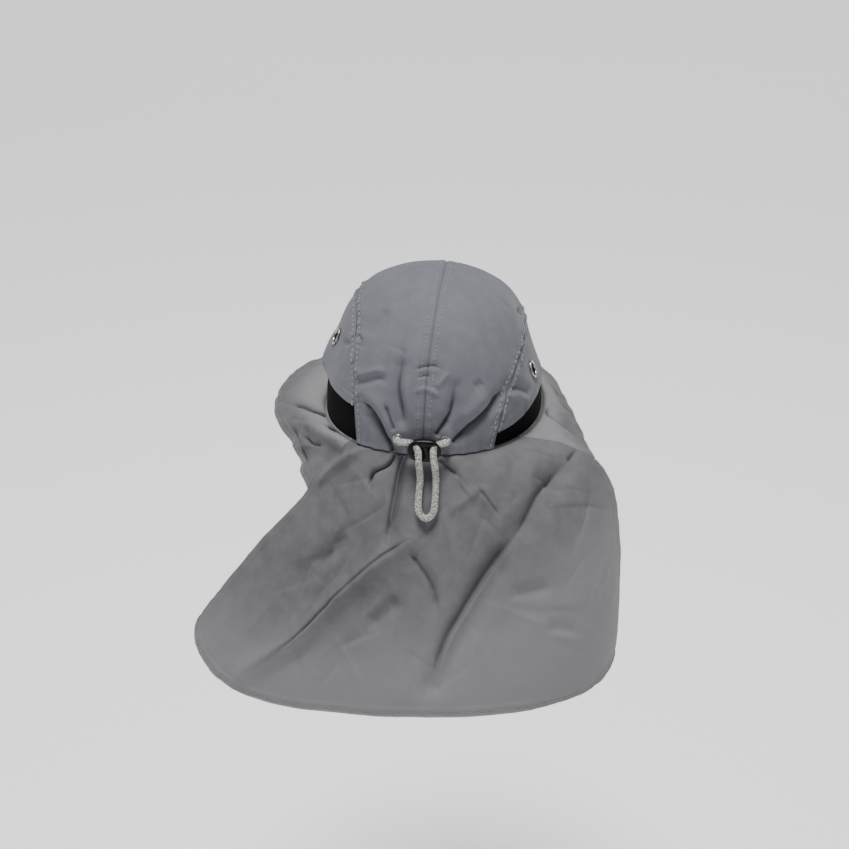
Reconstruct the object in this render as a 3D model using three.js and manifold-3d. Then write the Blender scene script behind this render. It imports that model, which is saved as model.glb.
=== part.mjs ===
// Legionnaire cap in soft cloth: two top panels, two side panels over mesh vent bands, a brim that
// runs into a long neck flap, and a draw cord with its lock at the back.
// Millimetres, +Z up. The origin is the middle of the head opening, in the plane of the crown's
// base seam. The brim points to -Y, the neck flap to +Y, and the wearer's left is +X.
import * as THREE from "three";
import { mergeVertices } from "three/addons/utils/BufferGeometryUtils.js";
import Module from "manifold-3d";

const wasm = await Module();
wasm.setup();

// Driving dimensions.
const HEAD_HALF_WIDTH = 84;
const HEAD_HALF_LENGTH = 96;
const CROWN_HEIGHT = 107;
const CROWN_LEAN = -7; // sideways shift of the top of the crown
const CLOTH = 1.2;
const MESH_CLOTH = 1.0;
const GAP = 0.3; // between pieces that touch
const LANDING = 3; // width of the skirt's inner rim, which the crown stands on
const BRIM_DEPTH = 70;
const FLAP_LENGTH = 190;
const LEFT_HEM = { back: 27, side: 30 }; // heights of the side panels' hems above the base seam
const RIGHT_HEM = { back: 11, side: 20 };
const BAND_OVERLAP = 6; // of a vent band behind the hem above it
const VENT_EYELET_RADIUS = 6.9;
const VENT_HOLE_RADIUS = 4.8;
const LEFT_VENT_HEIGHT = 56.5;
const RIGHT_VENT_HEIGHT = 37;
const CORD_DIAMETER = 5.2;
const CORD_CLEARANCE = 0.25;
const CORD_EYELET_RIM = 1.1; // width of a cord eyelet's flange beyond its hole
const CORD_EYELET_HEIGHT = 10.5;
const EYELET_WALL = 0.45; // of an eyelet's barrel
const EYELET_THICKNESS = 1.1; // of an eyelet's flange
const EYELET_LIFT = 0.45; // of a flange off the curved cloth
const LOCK_WIDTH = 24;
const LOCK_HEIGHT = 16;
const LOCK_DEPTH = 8.5;
const LOCK_BEVEL = 1.6;

// Proportions, without a unit.
const ROUNDNESS = 0.9; // of the crown: 1 is an ellipsoid, less is boxier
const SEAM_AT_BASE = 0.6; // where a side seam runs, as a share of the half width
const SEAM_AT_TOP = { left: 0.7, right: 0.83 };
const LEFT_NOTCH = 0.26; // where the brim's edge meets the flap's side, as a share of that side
const RIGHT_NOTCH = 0.37;

// Angles in degrees round the head opening, from the middle of the back towards the wearer's left.
const FLAP_LEFT_END = 38;
const FLAP_RIGHT_END = -52;
const JOIN_BLEND = 16; // over which the brim takes up the flap's line
const BAND_START = 33;
const BAND_END = 150;
const HEM_TURN = 45; // over which a hem rises from its height at the back to that at the side
const VENT_EYELET_ANGLE = 79;
const CORD_EYELET_LEFT = 10.5;
const CORD_EYELET_RIGHT = -9;
const LOCK_TILT = 12;

// How finely round things are divided.
const EYELET_SIDES = 18;
const CORD_SIDES = 8;
const CORD_STEPS = 40;
const CROWN_CELLS = { along: 26, across: 11 };
const SIDE_CELLS = { along: 20, across: 7 };
const BAND_CELLS = { along: 22, across: 3 };
const FLAP_CELLS = { round: 32, down: 18 };
const BRIM_CELLS = { round: 44, down: 7 };
const BACK_FINENESS = 1.35; // above 1, the top panels' rows lie closer at the back

// The neck flap, row by row: each row is a line down the flap that starts at the base seam. Its lower
// end lies out and drop away, as shares of the flap's length, in the plan direction aim. A bow
// makes the line go out before it falls, and a sway bends it sideways.
const FLAP_ROWS = table(["seam", "aim", "out", "drop", "bow", "sway"], [
  [-52, -75, 0.425, 0.86, 1.5, -0.06],
  [-43, -65, 0.475, 0.88, 1.0, -0.03],
  [-34, -55, 0.5, 0.88, 0.6, 0],
  [-20, -34, 0.49, 0.87, 0.25, 0],
  [-9, -17, 0.48, 0.86, 0.15, 0],
  [2, 3, 0.46, 0.875, 0.15, 0],
  [13, 26, 0.457, 0.915, 0.15, 0],
  [25, 51, 0.52, 0.965, 0.12, 0],
  [33, 68, 0.62, 0.94, 0.08, 0],
  [38, 82, 0.68, 0.85, 0.05, 0],
]);

// The brim in the same way, with lengths as shares of its depth.
const BRIM_ROWS = table(["seam", "aim", "out", "drop", "bow", "sway"], [
  [38, 84, 0.47, 0.6, 0, 0],
  [50, 95, 0.41, 0.52, 0.1, 0],
  [60, 99, 0.38, 0.48, 0.15, 0],
  [70, 101, 0.4, 0.41, 0.2, 0],
  [81, 96, 0.51, 0.35, 0.3, 0],
  [92, 102, 0.67, 0.3, 0.3, 0],
  [105, 107, 0.75, 0.29, 0.3, 0],
  [120, 114, 0.84, 0.3, 0.3, 0],
  [135, 122, 0.95, 0.32, 0.3, 0],
  [150, 139, 1.02, 0.36, 0.3, 0],
  [165, 158, 1.0, 0.39, 0.3, 0],
  [180, 180, 1.0, 0.4, 0.3, 0],
  [195, 201, 0.98, 0.4, 0.3, 0],
  [210, 212, 0.82, 0.39, 0.3, 0],
  [225, 225, 0.6, 0.39, 0.3, 0],
  [240, 245, 0.43, 0.39, 0.3, 0],
  [255, 267, 0.41, 0.4, 0.3, 0],
  [270, 275, 0.45, 0.4, 0.3, 0],
  [285, 271, 0.54, 0.36, 0.3, 0],
  [297, 265, 0.66, 0.31, 0.3, 0],
  [308, 260, 0.8, 0.29, 0.3, 0],
]);

// Main folds of the crown, each from one place by way of another to a third. A place is an angle
// round the head and a share of the crown's height. Width and depth are shares of the half
// width of the head, and a depth below zero is a dent.
const CROWN_FOLDS = table(
  ["angle", "height", "viaAngle", "viaHeight", "toAngle", "toHeight", "width", "depth"],
  [
    [98, 0.34, 91, 0.34, 84, 0.34, 0.15, 0.06],
    [92, 0.76, 95, 0.78, 98, 0.8, 0.34, 0.065],
    [-105, 0.95, -115, 0.95, -125, 0.95, 0.36, -0.06],
    [-88, 0.62, -93, 0.65, -98, 0.68, 0.24, -0.045],
    [-76, 0.4, -90, 0.41, -104, 0.43, 0.24, -0.06],
    [27, 0.22, 22, 0.16, 17, 0.09, 0.05, -0.035],
    [14, 0.57, 13, 0.4, 10, 0.23, 0.06, -0.03],
    [-43, 0.39, -29, 0.26, -17, 0.15, 0.07, -0.04],
    [-13, 0.46, -12, 0.36, -9, 0.23, 0.06, -0.03],
  ],
);

// Main folds of the brim and the flap. A place is an angle at the seam and a share of the way from
// the seam to the edge. Width and depth are shares of the brim's depth.
const SKIRT_COLUMNS = ["seam", "share", "viaSeam", "viaShare", "toSeam", "toShare", "width", "depth"];
const BRIM_FOLDS = table(SKIRT_COLUMNS, [
  [46, 0.35, 52, 0.62, 58, 0.9, 0.16, -0.06],
  [66, 0.84, 60, 0.95, 52, 0.96, 0.14, 0.05],
  [276, 0.1, 279, 0.3, 281, 0.55, 0.12, -0.04],
]);
const FLAP_FOLDS = table(SKIRT_COLUMNS, [
  [-42, 0.27, -16, 0.5, -3, 0.88, 0.14, -0.07],
  [3, 0.37, 14, 0.54, 29, 0.93, 0.14, 0.06],
  [7, 0.1, 8, 0.22, 7, 0.37, 0.1, -0.035],
  [18, 0.35, 23, 0.46, 27, 0.52, 0.12, -0.035],
  [38, 0.28, 38, 0.36, 36, 0.44, 0.16, -0.055],
]);

// The draw cord's route, from inside the left eyelet through the lock, down and up its loop, and
// back through the lock into the right eyelet.
const CORD_ROUTE = [
  [17.1, 88.8, 10.8],
  [18.2, 94.8, 10.8],
  [18.2, 98.8, 11],
  [16, 101.6, 11.8],
  [12, 103.2, 12.6],
  [7.8, 104.4, 12.6],
  [4.4, 106.8, 11.6],
  [2.4, 110, 9.4],
  [1.8, 112.4, 5.4],
  [1.4, 113.2, 0],
  [0.9, 113.4, -5.5],
  [0.5, 113.9, -11.5],
  [0.9, 115.9, -18.4],
  [1.2, 119.4, -24.4],
  [1.1, 122.3, -29.5],
  [-0.6, 124.9, -33.5],
  [-4.6, 126.3, -35.4],
  [-8.6, 125.1, -33.5],
  [-10.4, 122.4, -29.4],
  [-10.6, 119.4, -24.4],
  [-10.7, 115.9, -18.4],
  [-10.8, 113.9, -12],
  [-10.5, 113.4, -5.5],
  [-9.7, 113.2, 0.2],
  [-8.9, 112.4, 5.6],
  [-8.6, 110, 9.5],
  [-9.4, 106.8, 11.7],
  [-11.6, 104.4, 12.4],
  [-14.2, 102.2, 12.1],
  [-16.1, 99.4, 11.2],
  [-16, 95.2, 10.8],
  [-15.1, 89, 10.8],
];
const LOCK_PLACE = [-1.8, 105.8, 8.3];

const COLOURS = {
  cloth: 0x85868c,
  mesh: 0x18181a,
  metal: 0xa9a59c,
  lock: 0x1d1f1e,
  cord: 0xb9bab6,
};

const FULL_TURN = 360;
const rightJoin = FLAP_RIGHT_END + FULL_TURN; // the flap's right end, counted on round the front

function table(columns, rows) {
  return rows.map((row) => Object.fromEntries(columns.map((name, i) => [name, row[i]])));
}

const mix = (a, b, t) => a + (b - a) * t;
const radians = THREE.MathUtils.degToRad;
const power = (value, exponent) => Math.sign(value) * Math.abs(value) ** exponent;
const vector = (x, y, z) => new THREE.Vector3(x, y, z);

function range(count) {
  return Array.from({ length: count + 1 }, (_, i) => i / count);
}

// A table's columns at a value of its first column, on a smooth curve through the rows.
function rowAt(rows, at) {
  const [key, ...names] = Object.keys(rows[0]);
  const last = rows.length - 1;
  const found = rows.findIndex((row) => row[key] > at);
  const i = found < 0 ? last - 1 : Math.max(found - 1, 0);
  const span = rows[i + 1][key] - rows[i][key];
  const t = (at - rows[i][key]) / span;
  const slope = (name, j) => {
    const before = rows[Math.max(j - 1, 0)];
    const after = rows[Math.min(j + 1, last)];
    return (after[name] - before[name]) / (after[key] - before[key]);
  };
  const curve = (name) => {
    const rise = span * (t ** 3 - 2 * t ** 2 + t) * slope(name, i);
    const fall = span * (t ** 3 - t ** 2) * slope(name, i + 1);
    return mix(rows[i][name], rows[i + 1][name], 3 * t ** 2 - 2 * t ** 3) + rise + fall;
  };
  return Object.fromEntries(names.map((name) => [name, curve(name)]));
}

function smoothStep(t) {
  const clamped = Math.min(Math.max(t, 0), 1);
  return clamped * clamped * (3 - 2 * clamped);
}

// How far a set of folds lifts a point: each fold is a smooth ridge or dent along its line.
function liftOf(folds, point) {
  let lift = 0;
  for (const fold of folds) {
    const away = fold.lines.map((line) =>
      line.closestPointToPoint(point, true, vector()).distanceTo(point),
    );
    lift += fold.depth * Math.exp(-((Math.min(...away) / fold.width) ** 2));
  }
  return lift;
}

// The crown before it is folded: across runs from the middle to the side, arch from the back of
// the base over the top to the front.
function crownForm(across, arch) {
  return vector(
    HEAD_HALF_WIDTH * power(Math.sin(across), ROUNDNESS),
    HEAD_HALF_LENGTH * power(Math.cos(across), ROUNDNESS) * power(Math.cos(arch), ROUNDNESS),
    CROWN_HEIGHT * power(Math.cos(across), ROUNDNESS) * power(Math.sin(arch), ROUNDNESS),
  );
}

// The same form by the angle round the head and the height above the base seam.
function crownAt(angle, height) {
  const share = (1 - (height / CROWN_HEIGHT) ** (2 / ROUNDNESS)) ** (ROUNDNESS / 2);
  const turn = radians(angle);
  return vector(
    HEAD_HALF_WIDTH * share * power(Math.sin(turn), ROUNDNESS),
    HEAD_HALF_LENGTH * share * power(Math.cos(turn), ROUNDNESS),
    height,
  );
}

function crownNormal(form) {
  const steep = 2 / ROUNDNESS - 1;
  const part = (value, size) => power(value / size, steep) / size;
  return vector(
    part(form.x, HEAD_HALF_WIDTH),
    part(form.y, HEAD_HALF_LENGTH),
    form.z > GAP ? part(form.z, CROWN_HEIGHT) : 0,
  ).normalize();
}

// The folds of a table as lines in space: a row's place is found by the form, and its width and
// depth are shares of a size.
function foldLines(rows, form, size) {
  return rows.map((row) => {
    const [angle, along, viaAngle, viaAlong, toAngle, toAlong, width, depth] = Object.values(row);
    const middle = form(viaAngle, viaAlong);
    return {
      lines: [
        new THREE.Line3(form(angle, along), middle),
        new THREE.Line3(middle, form(toAngle, toAlong)),
      ],
      width: width * size,
      depth: depth * size,
    };
  });
}

const crownFolds = foldLines(
  CROWN_FOLDS,
  (angle, height) => crownAt(angle, height * CROWN_HEIGHT),
  HEAD_HALF_WIDTH,
);

// A point of the crown's cloth, inset by a distance from its outer face. The folds lift it no
// higher than a limit.
function crownPoint(form, inset, limit = Infinity) {
  const lift = Math.min(liftOf(crownFolds, form), limit) - inset;
  const lean = CROWN_LEAN * (form.z / CROWN_HEIGHT) ** 2;
  return form.clone().addScaledVector(crownNormal(form), lift).add(vector(lean, 0, 0));
}

// A side seam of the crown at an arch angle, moved sideways by a distance.
function seamForm(seamAtTop, arch, offset) {
  const share = mix(SEAM_AT_BASE, seamAtTop, Math.sin(arch)) + offset / HEAD_HALF_WIDTH;
  return crownForm(Math.asin(share ** (1 / ROUNDNESS)), arch);
}

function angleOf(form) {
  const x = power(form.x / HEAD_HALF_WIDTH, 1 / ROUNDNESS);
  const y = power(form.y / HEAD_HALF_LENGTH, 1 / ROUNDNESS);
  return THREE.MathUtils.radToDeg(Math.atan2(x, y));
}

// The base outline, which the crown stands on and the brim and flap hang from.
const seamPoint = (angle) => crownAt(angle, 0);

// A point on a line of the brim or flap, share of the way from the seam to the edge.
function linePoint(rows, length, angle, share) {
  const row = rowAt(rows, angle);
  const aim = radians(row.aim);
  const out = length * row.out * (1 - (1 - share) ** (1 + row.bow));
  const drop = length * row.drop * share ** (1 + row.bow);
  const sway = length * row.sway * Math.sin(Math.PI * share);
  return seamPoint(angle).add(
    vector(
      out * Math.sin(aim) + sway * Math.cos(aim),
      out * Math.cos(aim) - sway * Math.sin(aim),
      -drop,
    ),
  );
}

const flapForm = (angle, share) => linePoint(FLAP_ROWS, FLAP_LENGTH, angle, share);

// The brim keeps to the flap's side at each join, and takes its own line away from it.
function brimForm(angle, share) {
  const own = (at) => linePoint(BRIM_ROWS, BRIM_DEPTH, at, share);
  const left = 1 - smoothStep((angle - FLAP_LEFT_END) / JOIN_BLEND);
  const right = 1 - smoothStep((rightJoin - angle) / JOIN_BLEND);
  const atLeft = flapForm(FLAP_LEFT_END, share * LEFT_NOTCH).sub(own(FLAP_LEFT_END));
  const atRight = flapForm(FLAP_RIGHT_END, share * RIGHT_NOTCH).sub(own(rightJoin));
  return own(angle).addScaledVector(atLeft, left).addScaledVector(atRight, right);
}

const skirtFolds = [
  ...foldLines(BRIM_FOLDS, brimForm, BRIM_DEPTH),
  ...foldLines(FLAP_FOLDS, flapForm, BRIM_DEPTH),
];

// The outward direction of the brim or flap.
function skirtNormal(form, angle, share) {
  const step = 0.01;
  const turn = form(angle + step, share).sub(form(angle - step, share));
  const fall = form(angle, Math.min(share + step, 1)).sub(form(angle, Math.max(share - step, 0)));
  return turn.cross(fall).normalize();
}

// The outer and inner faces of the brim or flap. Each column starts on the landing under the
// crown. At a join both pieces share the mean of their normals, so that they meet edge to edge.
function skirtFaces(form, angles, shares, joins) {
  const outer = [];
  const inner = [];
  for (const angle of angles) {
    const seam = seamPoint(angle);
    const landing = seam.clone().multiplyScalar(1 - LANDING / seam.length());
    const top = [landing];
    const under = [landing.clone().add(vector(0, 0, -CLOTH))];
    const join = joins.find((entry) => entry.angle === angle);
    for (const share of shares) {
      const point = form(angle, share);
      const normal = skirtNormal(form, angle, share);
      if (share < 0.001) {
        normal.add(vector(0, 0, 1)).normalize();
      }
      if (join && share <= join.until) {
        normal.add(join.other(share)).normalize();
      }
      point.addScaledVector(normal, liftOf(skirtFolds, point) * smoothStep(share * 5));
      if (join && join.away) {
        point.addScaledVector(join.away(share), GAP);
      }
      top.push(point);
      under.push(point.clone().addScaledVector(normal, -CLOTH));
    }
    outer.push(top);
    inner.push(under);
  }
  return [outer, inner];
}

// A closed sheet between two faces, each a grid of points with the same rows and columns.
function sheet(outer, inner) {
  const columns = outer.length;
  const rows = outer[0].length;
  const points = [...outer.flat(), ...inner.flat()];
  const indices = [];
  const at = (side, i, j) => side * columns * rows + i * rows + j;
  const quad = (a, b, c, d) => indices.push(a, b, c, a, c, d);
  for (let i = 0; i + 1 < columns; i++) {
    for (let j = 0; j + 1 < rows; j++) {
      quad(at(0, i, j), at(0, i + 1, j), at(0, i + 1, j + 1), at(0, i, j + 1));
      quad(at(1, i, j), at(1, i, j + 1), at(1, i + 1, j + 1), at(1, i + 1, j));
    }
    quad(at(0, i, 0), at(1, i, 0), at(1, i + 1, 0), at(0, i + 1, 0));
    quad(at(0, i, rows - 1), at(0, i + 1, rows - 1), at(1, i + 1, rows - 1), at(1, i, rows - 1));
  }
  for (let j = 0; j + 1 < rows; j++) {
    quad(at(0, 0, j), at(0, 0, j + 1), at(1, 0, j + 1), at(1, 0, j));
    const end = columns - 1;
    quad(at(0, end, j), at(1, end, j), at(1, end, j + 1), at(0, end, j + 1));
  }
  const geometry = new THREE.BufferGeometry().setFromPoints(points);
  geometry.setIndex(indices);
  return facingOut(geometry);
}

// Turns a closed geometry's faces to point outwards.
function facingOut(geometry) {
  const place = geometry.getAttribute("position");
  const index = geometry.index;
  const corner = (i) => vector().fromBufferAttribute(place, index.getX(i));
  let volume = 0;
  for (let i = 0; i < index.count; i += 3) {
    volume += corner(i).dot(corner(i + 1).cross(corner(i + 2)));
  }
  if (volume < 0) {
    for (let i = 0; i < index.count; i += 3) {
      const second = index.getX(i + 1);
      index.setX(i + 1, index.getX(i + 2));
      index.setX(i + 2, second);
    }
  }
  return geometry;
}

function solidOf(geometry) {
  const merged = welded(geometry);
  return new wasm.Manifold(
    new wasm.Mesh({
      numProp: 3,
      vertProperties: merged.getAttribute("position").array,
      triVerts: new Uint32Array(merged.index.array),
    }),
  );
}

function geometryOf(solid) {
  const mesh = solid.getMesh();
  const geometry = new THREE.BufferGeometry();
  geometry.setAttribute("position", new THREE.BufferAttribute(mesh.vertProperties, 3));
  geometry.setIndex(new THREE.BufferAttribute(mesh.triVerts, 1));
  return geometry;
}

function cut(geometry, tools) {
  const solid = tools.reduce((left, tool) => left.subtract(solidOf(tool)), solidOf(geometry));
  return geometryOf(solid);
}

function mesh(name, geometry, colour, roughness, metalness = 0) {
  const material = new THREE.MeshStandardMaterial({ color: colour, roughness, metalness });
  const made = new THREE.Mesh(geometry, material);
  made.name = name;
  return made;
}

// Where an eyelet sits on the crown: on the cloth's outer face, with its axis square to it.
function eyeletPlace(angle, height) {
  const at = (turn, rise) => crownPoint(crownAt(angle + turn, height + rise), 0);
  const normal = at(2, 0).sub(at(-2, 0)).cross(at(0, 2).sub(at(0, -2))).normalize();
  const outward = normal.multiplyScalar(Math.sign(normal.dot(at(0, 0))));
  const turned = new THREE.Quaternion().setFromUnitVectors(vector(0, 0, 1), outward);
  return new THREE.Matrix4().compose(at(0, 0), turned, vector(1, 1, 1));
}

const ventPlaces = [
  eyeletPlace(VENT_EYELET_ANGLE, LEFT_VENT_HEIGHT),
  eyeletPlace(-VENT_EYELET_ANGLE, RIGHT_VENT_HEIGHT),
];
const cordPlaces = [CORD_EYELET_LEFT, CORD_EYELET_RIGHT].map((angle) =>
  eyeletPlace(angle, CORD_EYELET_HEIGHT),
);
const cordHole = CORD_DIAMETER / 2 + CORD_CLEARANCE;

// The hole in the cloth round an eyelet's barrel.
function clothHole(place, hole) {
  const radius = hole + EYELET_WALL + GAP;
  const length = 10 * CLOTH;
  const drill = new THREE.CylinderGeometry(radius, radius, length, EYELET_SIDES);
  return drill.rotateX(Math.PI / 2).applyMatrix4(place);
}

// An eyelet: a rounded flange on the cloth and a barrel through it, turned about its own Z axis.
function eyelet(name, place, hole, radius) {
  const barrel = hole + EYELET_WALL;
  const top = EYELET_LIFT + EYELET_THICKNESS;
  const bottom = -CLOTH - GAP;
  const profile = [
    [hole, bottom],
    [barrel, bottom],
    [barrel, EYELET_LIFT],
    [radius, EYELET_LIFT],
    [mix(hole, radius, 0.75), top],
    [mix(hole, radius, 0.3), top],
    [hole, mix(EYELET_LIFT, top, 0.4)],
    [hole, bottom],
  ];
  const points = profile.map(([x, y]) => new THREE.Vector2(x, y));
  const turned = new THREE.LatheGeometry(points, EYELET_SIDES).rotateX(Math.PI / 2);
  return mesh(name, facingOut(welded(turned.applyMatrix4(place))), COLOURS.metal, 0.35, 0.9);
}

// A geometry whose corners are shared, without anything but their places.
function welded(geometry) {
  const bare = geometry.clone();
  bare.deleteAttribute("normal");
  bare.deleteAttribute("uv");
  return mergeVertices(bare, 1e-4);
}

// A top panel, from the centre seam to a side seam and from the back of the base to its front.
function crownPanel(name, side, seamAtTop, place) {
  const outer = [];
  const inner = [];
  const half = GAP / 2;
  for (const arch of range(CROWN_CELLS.along).map((t) => t ** BACK_FINENESS * Math.PI)) {
    const edge = Math.asin((seamForm(seamAtTop, arch, -half).x / HEAD_HALF_WIDTH) ** (1 / ROUNDNESS));
    const start = Math.asin((half / HEAD_HALF_WIDTH) ** (1 / ROUNDNESS));
    const forms = range(CROWN_CELLS.across).map((t) => crownForm(mix(start, edge, t), arch));
    forms.forEach((form) => {
      form.x *= side;
    });
    outer.push(forms.map((form) => crownPoint(form, 0)));
    inner.push(forms.map((form) => crownPoint(form, CLOTH)));
  }
  const holed = cut(sheet(outer, inner), [clothHole(place, cordHole)]);
  return mesh(name, holed, COLOURS.cloth, 0.9);
}

// The height of a side panel's hem at an angle round the head, measured on the wearer's left.
function hemHeight(hem, angle) {
  const fromEnd = Math.min(angle - BAND_START, BAND_END - angle);
  return mix(hem.back, hem.side, smoothStep(fromEnd / HEM_TURN));
}

// The first arch angle, from one end of a side seam, at which the seam is clear of the hem.
function archAbove(seamAtTop, hem, clearance, from) {
  let low = from;
  let high = Math.PI / 2;
  for (let i = 0; i < 30; i++) {
    const middle = (low + high) / 2;
    const seam = seamForm(seamAtTop, middle, 0);
    if (seam.z > hemHeight(hem, angleOf(seam)) + clearance) {
      high = middle;
    } else {
      low = middle;
    }
  }
  return high;
}

// A side panel, from its hem up to the side seam, pointed at both ends.
function sidePanel(name, side, seamAtTop, hem, place) {
  const narrowest = 4 * CLOTH;
  const first = archAbove(seamAtTop, hem, narrowest, 0);
  const last = archAbove(seamAtTop, hem, narrowest, Math.PI);
  const outer = [];
  const inner = [];
  for (const t of range(SIDE_CELLS.along)) {
    const top = seamForm(seamAtTop, mix(first, last, t), GAP / 2);
    const angle = angleOf(top);
    const low = hemHeight(hem, angle);
    const forms = range(SIDE_CELLS.across).map((share) => crownAt(angle, mix(low, top.z, share)));
    forms.forEach((form) => {
      form.x *= side;
    });
    outer.push(forms.map((form) => crownPoint(form, 0)));
    inner.push(forms.map((form) => crownPoint(form, CLOTH)));
  }
  const holed = cut(sheet(outer, inner), [clothHole(place, VENT_HOLE_RADIUS)]);
  return mesh(name, holed, COLOURS.cloth, 0.9);
}

// A vent band: mesh cloth inside the line of the crown, from the base seam to behind the hem.
function ventBand(name, side, hem) {
  const outer = [];
  const inner = [];
  const inset = CLOTH + GAP;
  for (const t of range(BAND_CELLS.along)) {
    const angle = mix(BAND_START, BAND_END, t);
    const top = hemHeight(hem, angle) + BAND_OVERLAP;
    const forms = range(BAND_CELLS.across).map((share) => crownAt(side * angle, share * top));
    outer.push(forms.map((form) => crownPoint(form, inset, 0)));
    inner.push(forms.map((form) => crownPoint(form, inset + MESH_CLOTH, 0)));
  }
  return mesh(name, sheet(outer, inner), COLOURS.mesh, 0.95);
}

function neckFlap() {
  const angles = range(FLAP_CELLS.round).map((t) => mix(FLAP_RIGHT_END, FLAP_LEFT_END, t));
  const shares = range(FLAP_CELLS.down);
  const joins = [
    {
      angle: FLAP_LEFT_END,
      until: LEFT_NOTCH,
      other: (share) => skirtNormal(brimForm, FLAP_LEFT_END, share / LEFT_NOTCH),
    },
    {
      angle: FLAP_RIGHT_END,
      until: RIGHT_NOTCH,
      other: (share) => skirtNormal(brimForm, rightJoin, share / RIGHT_NOTCH),
    },
  ];
  const [outer, inner] = skirtFaces(flapForm, angles, shares, joins);
  return mesh("neck_flap", sheet(outer, inner), COLOURS.cloth, 0.9);
}

function brim() {
  const angles = range(BRIM_CELLS.round).map((t) => mix(FLAP_LEFT_END, rightJoin, t));
  const shares = range(BRIM_CELLS.down);
  const along = (angle, share, step) =>
    brimForm(angle + step, share).sub(brimForm(angle, share)).normalize();
  const joins = [
    {
      angle: FLAP_LEFT_END,
      until: 1,
      other: (share) => skirtNormal(flapForm, FLAP_LEFT_END, share * LEFT_NOTCH),
      away: (share) => along(FLAP_LEFT_END, share, 1),
    },
    {
      angle: rightJoin,
      until: 1,
      other: (share) => skirtNormal(flapForm, FLAP_RIGHT_END, share * RIGHT_NOTCH),
      away: (share) => along(rightJoin, share, -1),
    },
  ];
  const [outer, inner] = skirtFaces(brimForm, angles, shares, joins);
  return mesh("brim", sheet(outer, inner), COLOURS.cloth, 0.9);
}

// A round tube along the cord's route.
function cordTube(radius) {
  const route = new THREE.CatmullRomCurve3(CORD_ROUTE.map((place) => vector(...place)));
  const section = new THREE.Shape(
    range(CORD_SIDES)
      .slice(0, -1)
      .map((t) => {
        const turn = 2 * Math.PI * t;
        return new THREE.Vector2(radius * Math.cos(turn), radius * Math.sin(turn));
      }),
  );
  return new THREE.ExtrudeGeometry(section, {
    steps: CORD_STEPS,
    extrudePath: route,
    bevelEnabled: false,
  });
}

// The cord lock: an oblong with round ends and a softened edge, with the cord's way through it.
function cordLock() {
  const width = LOCK_WIDTH - 2 * LOCK_BEVEL;
  const radius = LOCK_HEIGHT / 2 - LOCK_BEVEL;
  const straight = width / 2 - radius;
  const outline = new THREE.Shape();
  outline.absarc(straight, 0, radius, -Math.PI / 2, Math.PI / 2);
  outline.absarc(-straight, 0, radius, Math.PI / 2, (3 * Math.PI) / 2);
  const body = new THREE.ExtrudeGeometry(outline, {
    depth: LOCK_DEPTH - 2 * LOCK_BEVEL,
    bevelThickness: LOCK_BEVEL,
    bevelSize: LOCK_BEVEL,
    bevelSegments: 2,
    curveSegments: 8,
    steps: 1,
  });
  body.translate(0, 0, LOCK_BEVEL - LOCK_DEPTH / 2);
  body.rotateX(-Math.PI / 2 + radians(LOCK_TILT));
  body.translate(...LOCK_PLACE);
  return mesh("cord_lock", cut(body, [cordTube(cordHole)]), COLOURS.lock, 0.4);
}

const cap = new THREE.Group();
const skirt = new THREE.Group();
skirt.add(brim(), neckFlap());
const crown = new THREE.Group();
crown.position.z = GAP;
crown.add(
  crownPanel("crown_panel_left", 1, SEAM_AT_TOP.left, cordPlaces[0]),
  crownPanel("crown_panel_right", -1, SEAM_AT_TOP.right, cordPlaces[1]),
  sidePanel("side_panel_left", 1, SEAM_AT_TOP.left, LEFT_HEM, ventPlaces[0]),
  sidePanel("side_panel_right", -1, SEAM_AT_TOP.right, RIGHT_HEM, ventPlaces[1]),
  ventBand("vent_mesh_left", 1, LEFT_HEM),
  ventBand("vent_mesh_right", -1, RIGHT_HEM),
  eyelet("vent_eyelet_left", ventPlaces[0], VENT_HOLE_RADIUS, VENT_EYELET_RADIUS),
  eyelet("vent_eyelet_right", ventPlaces[1], VENT_HOLE_RADIUS, VENT_EYELET_RADIUS),
  eyelet("cord_eyelet_left", cordPlaces[0], cordHole, cordHole + CORD_EYELET_RIM),
  eyelet("cord_eyelet_right", cordPlaces[1], cordHole, cordHole + CORD_EYELET_RIM),
);
const fastening = new THREE.Group();
fastening.add(
  mesh("draw_cord", cordTube(CORD_DIAMETER / 2), COLOURS.cord, 0.85),
  cordLock(),
);
cap.add(skirt, crown, fastening);

export default cap;
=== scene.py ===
"""A legionnaire cap in soft grey cloth: its cloth, stitches, mesh bands, eyelets, draw cord and lock.

Sizes are in millimetres and become metres in each mesh. The frame is the model's own: +Z up, the
brim towards -Y, the neck flap towards +Y, and the origin in the middle of the head opening.
"""

import math
from collections import namedtuple

import bmesh
import bpy
import numpy as np
from mathutils import Matrix, Vector
from mathutils.kdtree import KDTree


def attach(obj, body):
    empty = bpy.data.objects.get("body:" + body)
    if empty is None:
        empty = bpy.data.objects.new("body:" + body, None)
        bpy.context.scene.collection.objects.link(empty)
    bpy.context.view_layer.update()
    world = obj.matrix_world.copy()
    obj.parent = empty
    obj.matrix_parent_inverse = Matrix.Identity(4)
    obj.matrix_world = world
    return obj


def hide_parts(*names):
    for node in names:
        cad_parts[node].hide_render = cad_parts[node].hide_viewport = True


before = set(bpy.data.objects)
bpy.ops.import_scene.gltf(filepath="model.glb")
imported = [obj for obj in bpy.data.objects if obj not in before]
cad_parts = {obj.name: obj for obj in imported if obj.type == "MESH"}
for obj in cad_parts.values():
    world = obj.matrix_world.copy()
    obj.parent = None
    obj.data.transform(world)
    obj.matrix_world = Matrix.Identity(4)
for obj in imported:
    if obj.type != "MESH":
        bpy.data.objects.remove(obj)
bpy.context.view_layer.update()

MM = 0.001

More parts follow.
